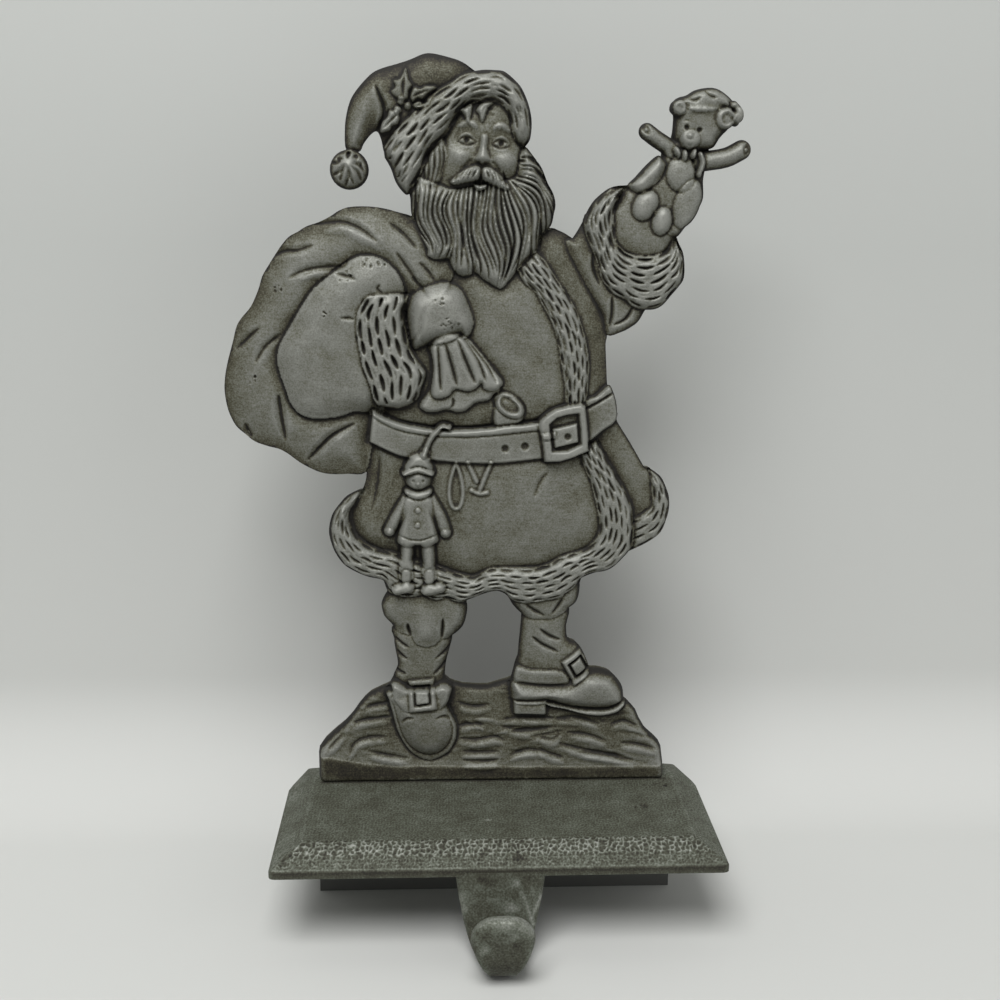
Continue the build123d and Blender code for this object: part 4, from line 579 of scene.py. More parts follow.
for x, z, turn in ((44.4, 175, 25), (46.3, 174.3, 0), (48.5, 174.6, -20)):
    form(oval(x, z, 0.85, 1.4, turn=turn), top=8.4, roll=0.8)
limb([(50.2, 174.6), (50.8, 172.4), (50, 169.6)], width=1.5, top=8.2)
for x, z, turn in ((36.5, 180.3, 35), (61.8, 175.7, -10)):
    lay(oval(x, z, 1.0, 1.6, turn=turn), rise=-0.6, roll=0.6, crease=0.0)
    bead(x, z, radius=0.5, rise=0.35)

# Hat, face, hair and beard: cast with the figure. A soft hat with a fur band and a pompom on its
# tail, a sprig of holly, and a long beard cut in flowing locks round a calm, plain face.
HAT = [(-37.8, 174.6), (-38.1, 180), (-37.3, 184.6), (-35.8, 188), (-32.3, 192), (-29.6, 193.8),
       (-25, 195.2), (-21.9, 196.2), (-18.8, 197.5), (-16.5, 197.7), (-13, 197), (-9.6, 196), (-7, 194.4),
       (-5, 192.4), (-6, 188), (-14, 182), (-20, 174), (-26, 171.6), (-28.4, 174), (-29.2, 177.3),
       (-30.2, 179.2), (-31.7, 178.5), (-33.5, 176.3), (-34.6, 174.4)]
form(curve(HAT, closed=True), top=6.2, roll=4.5, crown=1.2)
fold([(-30.4, 190.2), (-29, 186.8), (-28.3, 184.4), (-28.8, 182), (-30.4, 179)], width=2.4, depth=1.5)
swell(-31.6, 182.5, half_width=2.6, half_height=4.5, rise=-0.7, turn=-25)
form(oval(-37.2, 170, 4.85, 4.85), top=8.6, roll=4.8, crease=0.25)
for turn in range(-160, 175, 30):
    a = radians(turn + chance.uniform(-9, 9))
    c, s, bow = sin(a), cos(a), chance.uniform(-0.5, 0.5)
    start, out = chance.uniform(0.5, 1.8), chance.uniform(3.6, 4.5) if abs(turn) < 110 else 2.6
    stroke = [(-37.4 + start * c, 171.8 - start * s), (-37.2 + 2.8 * c + bow * s, 171 - 2.8 * s + bow * c),
              (-37.2 + out * c, 170.3 - out * s)]
    groove(curve(stroke), width=chance.uniform(0.9, 1.5), depth=1.0)
FACE = [(-15.6, 170), (-15, 176), (-12, 182), (-8, 187), (-2, 188.4), (3, 186.4), (5, 180), (6.4, 175),
        (6, 170), (4, 165), (-1, 162.4), (-8, 162.6), (-16.6, 164.2)]
form(curve(FACE, closed=True), top=6.6, roll=2.6, crown=1.0)

FACE_AT, FACE_TILT = (-4.0, 175.0), -5.0


def on_face(points, side=1):
    """Points measured out to one side and up from the face's middle, at the head's place and tilt."""
    c, s = cos(radians(FACE_TILT)), sin(radians(FACE_TILT))
    return [(FACE_AT[0] + c * side * u - s * v, FACE_AT[1] + s * side * u + c * v) for u, v in points]


LID = [(2.3, 1.7), (3.2, 2.45), (4.3, 2.75), (5.4, 2.4), (6.2, 1.6), (5.2, 1.2), (4.2, 1.05), (3.1, 1.2)]
LID_UPPER = [(2.0, 1.8), (3.1, 2.95), (4.4, 3.3), (5.6, 2.8), (6.6, 1.5)]
LID_LOWER = [(2.3, 1.2), (3.2, 0.5), (4.3, 0.3), (5.4, 0.6), (6.4, 1.3)]
BROW = [(1.8, 5.0), (4.0, 6.2), (6.9, 4.9)]
CHEEK_LINE = [(2.3, -2.4), (3.6, -3.4), (4.8, -5.0)]
for side in (-1, 1):
    socket, pupil, cheek = on_face([(4.2, 2.0), (4.3, 1.95), (5.6, -1.9)], side)
    swell(*socket, half_width=3.6, half_height=2.6, rise=-0.9, turn=FACE_TILT)
    lay(curve(on_face(LID, side), closed=True), rise=0.7, roll=1.1, crease=0.3, gap=0.4)
    groove(curve(on_face(LID_UPPER, side)), width=1.1, depth=-0.55)
    groove(curve(on_face(LID_LOWER, side)), width=0.9, depth=-0.35)
    hole(*pupil, radius=0.62, depth=0.9)
    groove(curve(on_face(BROW, side)), width=2.0, depth=-0.75)
    for inner in (2.4, 3.6, 4.8):
        groove(curve(on_face([(inner, 5.0), (inner + 0.5, 5.5), (inner + 1.1, 5.9)], side)), width=0.6,
               depth=0.2)
    swell(*cheek, half_width=3.8, half_height=3.2, rise=0.9)
    groove(curve(on_face(CHEEK_LINE, side)), width=1.2, depth=0.4)
NOSE = on_face([(-0.8, 3.6), (0.8, 3.6), (1.0, 0.8), (1.7, -1.4), (1.4, -2.8), (0, -3.3), (-1.4, -2.8),
                (-1.7, -1.4), (-1.0, 0.8)])
lay(curve(NOSE, closed=True), rise=1.2, roll=1.7, crease=0.15)
swell(*on_face([(0, -1.8)])[0], half_width=1.7, half_height=1.6, rise=0.8)
for side in (-1, 1):
    nostril_wing, nostril = on_face([(1.7, -2.2), (0.8, -3.0)], side)
    swell(*nostril_wing, half_width=0.9, half_height=0.8, rise=0.5)
    hole(*nostril, radius=0.4, depth=0.4)
for crease in ([(-3.4, 8.2), (0, 8.7), (3.2, 8.2)], [(-2.4, 9.6), (0, 10), (2.4, 9.6)]):
    groove(curve(on_face(crease)), width=0.8, depth=0.2)

SIDEBURN = [(-20.6, 168), (-18.4, 172.4), (-16.6, 175.8), (-14, 178), (-13, 174.4), (-13.8, 170.4),
            (-15.2, 166.6), (-18, 166)]
form(curve(SIDEBURN, closed=True), top=7.6, roll=1.6, crease=0.22)
for lock in ([(-15, 176.6), (-14.6, 172), (-15.8, 167.4)], [(-16.2, 175.4), (-16, 171.4), (-16.8, 167.2)],
             [(-17.6, 173.4), (-17.4, 170), (-17.8, 167.4)], [(-18.8, 171), (-18.6, 169), (-18.6, 167.4)],
             [(-14, 176), (-13.7, 172.6), (-14.8, 168.4)]):
    groove(curve(lock), width=0.9, depth=0.8)
for lock in ([(-9.8, 184.4), (-8, 185.6), (-6.6, 185.8), (-6.9, 183.4), (-7.8, 181.3), (-8.7, 183)],
             [(-5.8, 184.6), (-4, 186.4), (-1.4, 186.2), (-2.8, 184.8), (-4.2, 181.5), (-5.1, 183.2)]):
    form(curve(lock, closed=True), top=8.6, roll=1.0, crease=0.22)
for parting in ([(-7.6, 185.2), (-7.5, 183.6), (-7.8, 182.2)], [(-3, 185.8), (-4, 184.4), (-4.2, 182.4)]):
    groove(curve(parting), width=0.6, depth=0.4)

BEARD = [(-22.2, 165), (-22.1, 163), (-21.9, 159.5), (-20.8, 156.5), (-19.3, 153.8), (-17.9, 150.8),
         (-17.8, 149.2), (-15.8, 148.3), (-13.5, 148.5), (-12.5, 148.4), (-11.9, 147), (-10.8, 145),
         (-9, 144.2), (-6.9, 144.6), (-5.9, 145.2), (-3.8, 143.5), (-1.5, 142.1), (0.8, 141.2),
         (2.7, 143.1), (4.6, 145.2), (6.5, 147.7), (8.5, 149.6), (10, 150.8), (10.8, 154.2), (13.3, 156.8),
         (14, 159.6), (14.4, 162), (13.8, 164.6), (12.3, 167.3), (10.8, 170.8), (8.8, 173.5), (6.5, 176),
         (5.2, 174), (5, 171.5), (4.4, 169), (3, 168), (-1, 167.4), (-6, 166.4), (-11, 165.5),
         (-14.2, 166.3), (-18, 167.7), (-20.4, 168.4)]
form(curve(BEARD, closed=True), top=8.4, roll=3.0, crown=1.1, crease=0.3, moat=0.6)
LOCKS = [[(-21.6, 167.4), (-21.8, 163), (-21.5, 159), (-20.4, 156), (-19, 153.4), (-17.6, 150)],
         [(-19, 168), (-19.4, 163), (-19, 159), (-18, 155.5), (-16.9, 152), (-16.6, 148.8)],
         [(-16.2, 166.9), (-16.9, 163), (-16.7, 159), (-15.8, 155), (-15, 151.5), (-15.2, 148.4)],
         [(-12.8, 165.8), (-14.3, 162.6), (-14.4, 159), (-13.4, 155), (-12.7, 151.5), (-13.3, 148.4)],
         [(-10.6, 165.4), (-12.1, 161.5), (-12, 158), (-11, 153.5), (-10.6, 149), (-11.4, 146)],
         [(-8.6, 167), (-10, 160.5), (-9.8, 157), (-8.6, 152), (-8.3, 148), (-8.9, 144.2)],
         [(-6.6, 167), (-7.8, 160), (-7.4, 156), (-6, 151), (-5.7, 148), (-6.5, 144.8)],
         [(-4.4, 166.8), (-5.4, 158.5), (-4.6, 154), (-3, 149), (-2.4, 145), (-2.6, 142.6)],
         [(-2.6, 166.6), (-3.2, 157), (-2, 152), (-0.8, 147), (-0.2, 142)],
         [(-0.8, 166.8), (-0.6, 157), (0.6, 152), (1.2, 147), (0.8, 141.4)],
         [(0.6, 167.2), (2.2, 158), (3.2, 152), (3, 147), (1.7, 142)],
         [(1.8, 167.6), (4.6, 159.5), (5.6, 153.5), (5.1, 148), (3.5, 143.8)],
         [(2.6, 168), (6.4, 161.6), (8, 156), (7.8, 151), (6.2, 147)],
         [(3.8, 167), (8, 164), (10.4, 159), (10.4, 153.8), (9.2, 150)],
         [(4.4, 168.4), (9, 166.6), (12.2, 162.6), (12.7, 158.4), (11.2, 154.6)],
         [(4.8, 170), (9.6, 169), (12.9, 165), (14, 161), (13.4, 157)],
         [(5, 172), (8.6, 171.8), (11, 169.8), (13, 166)],
         [(5.4, 173.8), (7.6, 173.8), (9.4, 172.6), (10.8, 170.8)]]
WAVE = 0.75


def hair(locks, between, width, depth):
    """Wavy grooves that run with the locks, some between each lock and the next."""
    lines = [even(curve([2 * np.array(lock[0]) - np.array(lock[1])] + lock), 18)[3:] for lock in locks]
    for order, (first, second) in enumerate(zip(lines, lines[1:])):
        for number in range(between):
            share = (number + chance.uniform(0.35, 0.65)) / between
            line = first * (1 - share) + second * share
            wave = np.linspace(0, 2.8 * pi, len(line)) + 0.9 * order + chance.uniform(-0.5, 0.5)
            line[:, 0] += WAVE * np.sin(wave) * np.linspace(0.2, 1, len(line))
            stretch = slice(chance.integers(0, 2), len(line) - chance.integers(0, 2))
            groove(curve(line[stretch], steps=3), width=width * chance.uniform(0.7, 1.3),
                   depth=depth * chance.uniform(0.7, 1.2))


hair(LOCKS, between=2, width=1.05, depth=1.5)
for clump in (LOCKS[3], LOCKS[6], LOCKS[13]):
    groove(curve(clump[2:]), width=1.3, depth=0.7)
MOUTH = on_face([(-1.7, -8.1), (0, -8.5), (1.7, -8.1), (1.3, -9.2), (0, -9.8), (-1.3, -9.2)])
form(curve(MOUTH, closed=True), top=9.4, roll=0.9, crease=0.25)
MOUSTACHE = [(0.1, -4.3), (2.0, -3.9), (4.6, -5.4), (7.4, -8.2), (6.2, -9.0), (3.4, -8.2), (1.2, -7.6),
             (0.1, -6.6)]
STRANDS = [(0.8, -4.5, -7.3), (1.9, -4.3, -7.7), (3.0, -4.8, -8.0), (4.1, -5.5, -8.3), (5.2, -6.4, -8.6)]
for side in (-1, 1):
    form(curve(on_face(MOUSTACHE, side), closed=True), top=9.7, roll=1.5, crease=0.25)
    for start, top, foot in STRANDS:
        strand = [(start, top), (start + 1.0, (top + foot) / 2), (start + 1.4, foot)]
        groove(curve(on_face(strand, side)), width=0.75, depth=1.1)

BAND_UPPER = [(-28.7, 175.4), (-26, 179), (-22.5, 182.5), (-19.5, 185.2), (-16.5, 188.2), (-12.5, 190.5),
              (-8.5, 193), (-4.5, 194), (-0.8, 194), (1.2, 193.7), (3.5, 192), (5.4, 190), (6.9, 187),
              (7.8, 184), (8.1, 181), (7.7, 177.7), (6.4, 175.8)]
BAND_LOWER = [(-28.4, 173), (-26.9, 170.4), (-25.8, 167.3), (-24.2, 165), (-22.5, 164.2), (-20, 168),
              (-18.5, 171), (-17.3, 174.6), (-14.6, 177), (-12.3, 179.6), (-10.4, 183), (-8.5, 185),
              (-6.2, 186), (-3.1, 186.5), (0, 186), (1.9, 184.2), (2.7, 182.3), (3.1, 179.6), (4, 177.3),
              (5.6, 175.9)]
form(band(BAND_UPPER, BAND_LOWER), top=9.2, roll=3.2, crease=0.25, moat=0.5)
fur(BAND_UPPER, BAND_LOWER[4:], rows=6, length=5.2, width=0.9, depth=0.75)
for x, z in ((-27.6, 173), (-26.2, 170), (-25, 167.4)):
    groove(curve([(x, z), (x + 1.6, z + 2.2), (x + 2.6, z + 4.4)]), width=0.9, depth=0.8)
LEAVES = [[(-24.6, 186.6), (-26.6, 188.4), (-25.6, 189.6), (-26, 191.2), (-24.4, 191.6), (-22.9, 194.2),
           (-22.1, 191.4), (-21.3, 190), (-22.1, 188.6), (-22.4, 186.8)],
          [(-22, 187.4), (-21, 189.6), (-19.4, 189.3), (-18, 190), (-15.2, 189.6), (-17.6, 188),
           (-18.8, 186.8), (-20.2, 187), (-21.2, 186)],
          [(-21.4, 185.6), (-19.8, 186.4), (-18.4, 186.1), (-17.4, 186.9), (-16.6, 187.2), (-17.8, 185.2),
           (-19.4, 184.6), (-20.8, 184.6)], [(-25.2, 184), (-27, 184), (-27.5, 182.6), (-28.8, 181.6),
                                             (-29.4, 178.8), (-27, 179.3), (-26.2, 180.5), (-24.9, 180.9),
                                             (-24.4, 182.6)]]
for leaf in LEAVES:
    form(curve(leaf, closed=True, steps=3), top=8.4, roll=0.8, crease=0.3, moat=0.0)
for vein in ([(-23.6, 187.4), (-23.6, 190), (-23, 193)], [(-21.6, 187), (-19.6, 188.2), (-16.8, 189)],
             [(-21, 185.2), (-19.2, 185.6), (-17.2, 186.8)], [(-25, 183.2), (-26.6, 181.8), (-28.6, 179.6)],
             [(-27, 184.8), (-28, 182.6), (-28.6, 180.8)]):
    groove(curve(vein), width=0.9, depth=0.7)
for x, z in ((-24.1, 186.3), (-22.5, 185.2), (-25, 184.2)):
    bead(x, z, radius=1.05, rise=1.2)

# Casting of the whole figure: the carved block becomes one closed skin. Sand casting leaves small
# pits and soft unevenness all over it, and the flat back is a little smaller than the front.
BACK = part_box("relief_figure")[1][1] / MM
BACK_INSET = 0.8
SEAM_ROWS, SEAM_CUT = 2, 0.7
SOFTENING = 0.11
WAVY, WAVY_REACH, ROUGH, ROUGH_REACH = 0.05, 1.4, 0.02, 0.3


def blurred(field, reach):
    """A field spread softly over a reach in mm."""
    fz = np.fft.fftfreq(field.shape[0], PITCH)[:, None]
    fx = np.fft.rfftfreq(field.shape[1], PITCH)[None, :]
    spread = np.exp(-2 * (pi * reach) ** 2 * (fx**2 + fz**2))
    return np.fft.irfft2(np.fft.rfft2(field) * spread, field.shape)


def averaged(reach):
    """The carving's level, averaged over a reach in mm within the figure."""
    return blurred(relief * solid, reach) / np.maximum(blurred(solid, reach), 1e-3)


def uneven(reach):
    """Soft chance unevenness of about 1 with features of a reach in mm."""
    field = blurred(chance.normal(0, 1, relief.shape), reach)
    return field / field.std()


solid = (within > 0).astype(np.float32)
relief = np.where(solid > 0, averaged(SOFTENING), 0)
relief += solid * (WAVY * uneven(WAVY_REACH) + ROUGH * uneven(ROUGH_REACH))
relief[:SEAM_ROWS] -= SEAM_CUT
PITS = [(-14.5, 137.5), (-12.6, 133.4), (-11.2, 132.2), (-13.4, 131.6), (-33.8, 147.4), (-30.6, 146.9),
        (-37.8, 144.2), (-55.5, 140.5), (-62, 118), (-43.6, 135.2)]
PITS_TOGETHER = 6
for x, z in PITS:
    for _ in range(PITS_TOGETHER):
        pit = x + chance.normal(0, 0.8), z + chance.normal(0, 0.6)
        hole(*pit, radius=chance.uniform(0.2, 0.4), depth=chance.uniform(0.15, 0.4))

# Patina from 0, rubbed bright, to 1, black: it stays in cuts, in dips and where the relief lies deep
STAINS = [(-21, 190, 13, 8, 0.36), (16, 151, 6, 9, 0.18), (-30, 84, 6, 14, 0.14), (-14, 78, 6, 14, 0.14),
          (-20, 110, 12, 4, 0.1), (0, 22, 60, 13, 0.2), (25, 133, 3, 9, 0.14), (-4, 175, 9, 9, 0.08)]
PLAIN_PATINA, LIP_PATINA, DEEP_PATINA, BACK_PATINA = 0.34, 0.47, 0.14, 0.45
CUTS, DIPS = (0.5, 0.55, 0.42, -0.4), (0.2, 2.8, 1.0, -0.8)
RUBBED_LEVEL, DEEP = 7.8, 3.2
patina = np.full(relief.shape, PLAIN_PATINA)
for strength, reach, full_depth, rubbed in (CUTS, DIPS):
    patina += strength * np.clip((averaged(reach) - relief) / full_depth, rubbed, 1.2)
patina += DEEP_PATINA * np.clip((RUBBED_LEVEL - averaged(1.0)) / DEEP, -0.35, 0.9)
patina += LIP_PATINA * (up < lip)
for x, z, wide, high, strength in STAINS:
    patina += strength * np.exp(-(((across - x) / wide) ** 2) - ((up - z) / high) ** 2)

# Points a little outside the outline are kept and drawn in to it, so that the outline is smooth
OUTER_SHARE, LEAST_STEEP = 0.45, 0.25
kept = within > -OUTER_SHARE * PITCH
ringed = np.pad(kept, 1, constant_values=True)
whole = np.ones_like(kept)
for down in (0, 1, 2):
    for over in (0, 1, 2):
        whole &= ringed[down:down + kept.shape[0], over:over + kept.shape[1]]
edge = kept & ~whole
slope_z, slope_x = np.gradient(within, PITCH)
steep = np.maximum(slope_x**2 + slope_z**2, LEAST_STEEP)
place_x = np.where(edge, across - within * slope_x / steep, across)
place_z = np.where(edge, np.maximum(up - within * slope_z / steep, FOOT), up)
place_z[0] = FOOT
depth = np.where(edge, RIM, np.maximum(relief, LOWEST))

cast = bmesh.new()
bmesh.ops.create_grid(cast, x_segments=columns, y_segments=rows, size=1.0)
places = np.stack([place_x, BACK - depth, place_z], -1).reshape(-1, 3) * MM
for vert, place in zip(cast.verts, places.tolist()):
    vert.co = place
spare = [vert for vert, stays in zip(cast.verts, kept.ravel().tolist()) if not stays]
bmesh.ops.delete(cast, geom=spare, context="VERTS")
bmesh.ops.delete(cast, geom=[vert for vert in cast.verts if not vert.link_faces], context="VERTS")
rim = [e for e in cast.edges if e.is_boundary]
walls = bmesh.ops.extrude_edge_only(cast, edges=rim)["geom"]
inward = np.stack(np.gradient(blurred(np.clip(within, -3, 3), 0.6), PITCH), -1) * BACK_INSET
for vert in walls:
    if isinstance(vert, bmesh.types.BMVert):
        z, x = inward[round((vert.co.z / MM - FOOT) / PITCH), round((vert.co.x / MM - LEFT) / PITCH)]
        on_base = vert.co.z < (FOOT + 0.01) * MM
        vert.co += Vector((x, 0, 0 if on_base else z)) * MM
        vert.co.y = BACK * MM
bmesh.ops.triangle_fill(cast, use_beauty=True, edges=[e for e in cast.edges if e.is_boundary])
bmesh.ops.recalc_face_normals(cast, faces=cast.faces)
mesh = bpy.data.meshes.new("relief_figure_cast")
cast.to_mesh(mesh)
cast.free()
figure = bpy.data.objects.new("relief_figure_cast", mesh)
bpy.context.collection.objects.link(figure)

# The skin is thinned where it is nearly flat, so that the fine carving keeps its points
SKIN_TRIANGLES = 190000
triangles = sum(len(face.vertices) - 2 for face in mesh.polygons)
thin = figure.modifiers.new("thin", "DECIMATE")
thin.ratio = SKIN_TRIANGLES / triangles
bpy.context.view_layer.update()
skin = bpy.data.meshes.new_from_object(figure.evaluated_get(bpy.context.evaluated_depsgraph_get()))
figure.modifiers.clear()
figure.data = skin
bpy.data.meshes.remove(mesh)
skin.shade_smooth()
skin.set_sharp_from_angle(angle=radians(75))
points = np.empty(len(skin.vertices) * 3, np.float32)
skin.vertices.foreach_get("co", points)
points = points.reshape(-1, 3) / MM
column = np.clip(((points[:, 0] - LEFT) / PITCH).round().astype(int), 0, columns)
row = np.clip(((points[:, 2] - FOOT) / PITCH).round().astype(int), 0, rows)
faces_viewer = points[:, 1] < BACK - RIM + 0.5
values = np.where(faces_viewer, patina[row, column], BACK_PATINA).astype(np.float32)
skin.attributes.new("patina", "FLOAT", "POINT").data.foreach_set("value", values)


def colour(code):
    """An sRGB hex colour as linear red, green, blue and alpha."""
    parts = [int(code[i:i + 2], 16) / 255 for i in (0, 2, 4)]
    return [p / 12.92 if p <= 0.04045 else ((p + 0.055) / 1.055) ** 2.4 for p in parts] + [1.0]


def node(tree, kind, links=(), **settings):
    """Adds a node, sets its properties and sockets, and links its inputs."""
    made = tree.nodes.new("ShaderNode" + kind)
    for name, value in settings.items():
        if name.startswith("in_"):
            key = name[3:]
            made.inputs[int(key) if key.isdigit() else key.replace("_", " ")].default_value = value
        else:
            setattr(made, name, value)
    for socket, source in dict(links).items():
        tree.links.new(source, made.inputs[socket])
    return made


GRAIN_SHARE, MOTTLE, MOTTLE_SHARE, BRUSH_MARK, BRUSH_SHRINK = 0.8, 6.0, 0.4, 0.35, 0.06


def antiqued(name, stops, grain, brushed):
    """Cast pewter under a dark patina: its tone follows the piece's own patina attribute (on the base plate
    it also holds painted shade), broken by casting grain, by soft mottling and by fine level brush marks,
    with sizes in mm."""
    made = bpy.data.materials.new(name)
    made.use_nodes = True
    tree = made.node_tree
    shader = tree.nodes["Principled BSDF"]
    spot = node(tree, "TexCoord").outputs["Object"]
    stretched = node(tree, "Mapping", {"Vector": spot}, in_Scale=(BRUSH_SHRINK, 1, 1)).outputs[0]
    tone = node(tree, "Attribute", attribute_name="patina").outputs["Fac"]
    layers = ((spot, grain, GRAIN_SHARE), (spot, MOTTLE, MOTTLE_SHARE), (stretched, BRUSH_MARK, brushed))
    for vector, size, share in layers:
        noise = node(tree, "TexNoise", {"Vector": vector}, in_Scale=1 / (size * MM), in_Detail=3.0)
        noise = noise.outputs["Fac"]
        level = node(tree, "Math", {0: noise}, operation="MULTIPLY_ADD", in_1=share, in_2=-share / 2)
        level = level.outputs[0]
        tone = node(tree, "Math", {0: tone, 1: level}, operation="ADD").outputs[0]
        if size == grain:
            bump = node(tree, "Bump", {"Height": noise}, in_Strength=0.3, in_Distance=0.1 * MM)
    tint = node(tree, "ValToRGB", {0: tone})
    scale = tint.color_ramp.elements
    scale.remove(scale[1])
    scale[0].position, scale[0].color = stops[0][0], colour(stops[0][1])
    for position, code in stops[1:]:
        scale.new(position).color = colour(code)
    # Dark patina is duller and covers the bare metal
    dull = node(tree, "MapRange", {"Value": tone}, in_1=0.1, in_2=0.9, in_3=0.56, in_4=0.8).outputs[0]
    bare = node(tree, "MapRange", {"Value": tone}, in_1=0.2, in_2=0.8, in_3=0.4, in_4=0.1).outputs[0]
    for source, socket in ((tint.outputs["Color"], "Base Color"), (dull, "Roughness"), (bare, "Metallic"),
                           (bump.outputs["Normal"], "Normal")):
        tree.links.new(source, shader.inputs[socket])
    return made


skin.materials.clear()
FIGURE_TONES = [(0.0, "84857f"), (0.25, "70716a"), (0.45, "5b5b4f"), (0.6, "424030"), (0.78, "28241a"),
                (1.0, "14120d")]
skin.materials.append(antiqued("antiqued_cast_pewter", FIGURE_TONES, grain=0.4, brushed=0.3))
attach(figure, "root")
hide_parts("relief_figure")

# Base plate with its hook: one casting in pewter-look metal, duller and greener than the figure. The
# plate has a bevel all round, hammered to a fine net along the front, and the figure is screwed to it.
base_low, base_high = (np.array(corner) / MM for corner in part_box("base_with_hook"))
HALF, REAR, PLATE_TOP = base_high
REAR_HALF, SHOULDER = 53.5, 16.0
LIP_HEIGHT, BEVEL, CORNER, LIP_ROUND = 2.0, 7.5, 1.6, 0.5
FINE, COARSE, ACROSS = 0.2, 0.45, 500
FINE_REACH = 9.0
fine_rows = np.arange(-REAR, FINE_REACH - REAR, FINE)
coarse_rows = np.arange(FINE_REACH - REAR, REAR - 0.1, COARSE)
row_y = np.concatenate([fine_rows, coarse_rows, [REAR]])
slanted = HALF + (REAR_HALF - HALF) * np.clip((row_y - SHOULDER) / (REAR - SHOULDER), 0, 1)
for inset in (row_y + REAR, REAR - row_y):
    slanted = slanted - CORNER + np.sqrt(CORNER**2 - (CORNER - np.clip(inset, 0, CORNER)) ** 2)
plate_x = np.linspace(-1, 1, ACROSS + 1)[None, :] * slanted[:, None]
plate_y = np.repeat(row_y[:, None], ACROSS + 1, 1)


def softest(*levels, soft=0.25):
    """The lowest of some levels, with a soft turn from one to the next."""
    return -soft * np.log(sum(np.exp(-level / soft) for level in levels))


WAVES, WRIGGLE = 16, 0.08


def drift(reach):
    """Soft chance waves of about 1 over the plate, with features of a reach in mm."""
    field = np.zeros_like(plate_x)
    for _ in range(WAVES):
        turn, start = chance.uniform(0, 2 * pi, 2)
        length = reach * chance.uniform(0.7, 1.6)
        field += np.sin((plate_x * cos(turn) + plate_y * sin(turn)) * 2 * pi / length + start)
    return field / field.std()


def net(size, line):
    """Fine raised lines between the cells of a hammered grain, from 0 in a cell to 1 on a line."""
    count_x, count_y = int(2 * HALF / size) + 5, int(2 * REAR / size) + 5
    nudge = chance.uniform(0.1, 0.9, (count_x, count_y, 2))
    u = np.clip((plate_x + HALF) / size + 1.5 + WRIGGLE * drift(2.2 * size), 1, count_x - 2)
    v = np.clip((plate_y + REAR) / size + 1.5 + WRIGGLE * drift(2.2 * size), 1, count_y - 2)
    first, second = np.full(plate_x.shape, 9.0), np.full(plate_x.shape, 9.0)
    for over in (-1, 0, 1):
        for on in (-1, 0, 1):
            i, j = u.astype(int) + over, v.astype(int) + on
            away = np.hypot(i + nudge[i, j, 0] - u, j + nudge[i, j, 1] - v)
            second = np.minimum(second, np.maximum(first, away))
            first = np.minimum(first, away)
    return np.exp(-(((second - first) * size / line) ** 2))


slant_length = np.hypot(REAR - SHOULDER, HALF - REAR_HALF)
side_gap = HALF - abs(plate_x)
back_side_gap = (side_gap * (REAR - SHOULDER) + (SHOULDER - plate_y) * (HALF - REAR_HALF)) / slant_length
others = softest(side_gap, back_side_gap, REAR - plate_y)
inside = np.maximum(softest(plate_y + REAR, others), 0)
height = softest(LIP_HEIGHT + (PLATE_TOP - LIP_HEIGHT) * inside / BEVEL, np.full(plate_x.shape, PLATE_TOP))
height -= LIP_ROUND * np.clip(1 - inside / LIP_ROUND, 0, 1) ** 2
MITRE, NET_TOP, NET_FADE, NET_FOOT, FOOT_FADE, NET_THIN = 0.6, 1.14, 0.12, 0.38, 0.16, 0.35
on_front = np.clip((others - plate_y - REAR) / MITRE + 0.5, 0, 1)
risen = (plate_y + REAR) / BEVEL
hammered = on_front * np.clip((NET_TOP - risen) / NET_FADE, 0, 1)
upper = np.clip((risen - NET_FOOT) / FOOT_FADE, 0, 1)
coarse_net = net(size=1.15, line=0.36) * np.clip(0.85 + 0.35 * drift(1.8), 0, 1)
fine_net = net(size=0.8, line=0.3)
off_edge = np.clip((inside - 0.3) / 0.6, 0, 1)
CELL_LEVEL, NET_HEIGHT, GRAIN_HEIGHT = 0.3, 0.22, 0.07
net_level = hammered * (NET_THIN + (1 - NET_THIN) * upper) * off_edge * (coarse_net - CELL_LEVEL)
grain_level = (1 - hammered * upper) * off_edge * (fine_net - CELL_LEVEL)
height += NET_HEIGHT * net_level + GRAIN_HEIGHT * grain_level

# Patina of the plate: rubbed pale on the net's lines, on the bevels' edges and along the lip. The top and
# sides are a little darker than the front bevel, partly as painted shade, and a line of painted shade runs
# along the figure's foot.
PLATE_TONE, NET_WEAR, GRAIN_WEAR, TABLE_TONE_AND_SHADE, FOOT_DARK = 0.57, 0.68, 0.26, 0.05, 0.08
SIDE_WEAR, ARRIS_WEAR, ARRIS, LIP_WEAR, LIP_AT, LIP_LINE = 0.08, 0.08, 0.5, 0.2, 0.45, 0.16
RIM_DARK, RIM_WIDTH, SEAM_SHADE, SEAM_WIDTH = 0.2, 0.2, 0.4, 0.5
plate_wear_and_shade = PLATE_TONE - NET_WEAR * net_level - GRAIN_WEAR * grain_level
# The top and sides are darker than the front bevel: partly the plate's own tone, partly painted shade for
# how the light falls on the top.
plate_wear_and_shade += TABLE_TONE_AND_SHADE * (1 - on_front * (risen < 1)) + FOOT_DARK * hammered * (1 - upper)
plate_wear_and_shade -= SIDE_WEAR * (1 - on_front) * np.clip(1.2 - others / BEVEL, 0, 1)
plate_wear_and_shade -= ARRIS_WEAR * np.exp(-(((others - BEVEL) / ARRIS) ** 2)) * (1 - on_front)
plate_wear_and_shade -= LIP_WEAR * np.exp(-(((inside - LIP_AT) / LIP_LINE) ** 2)) * on_front
plate_wear_and_shade += RIM_DARK * np.clip(1 - inside / RIM_WIDTH, 0, 1)
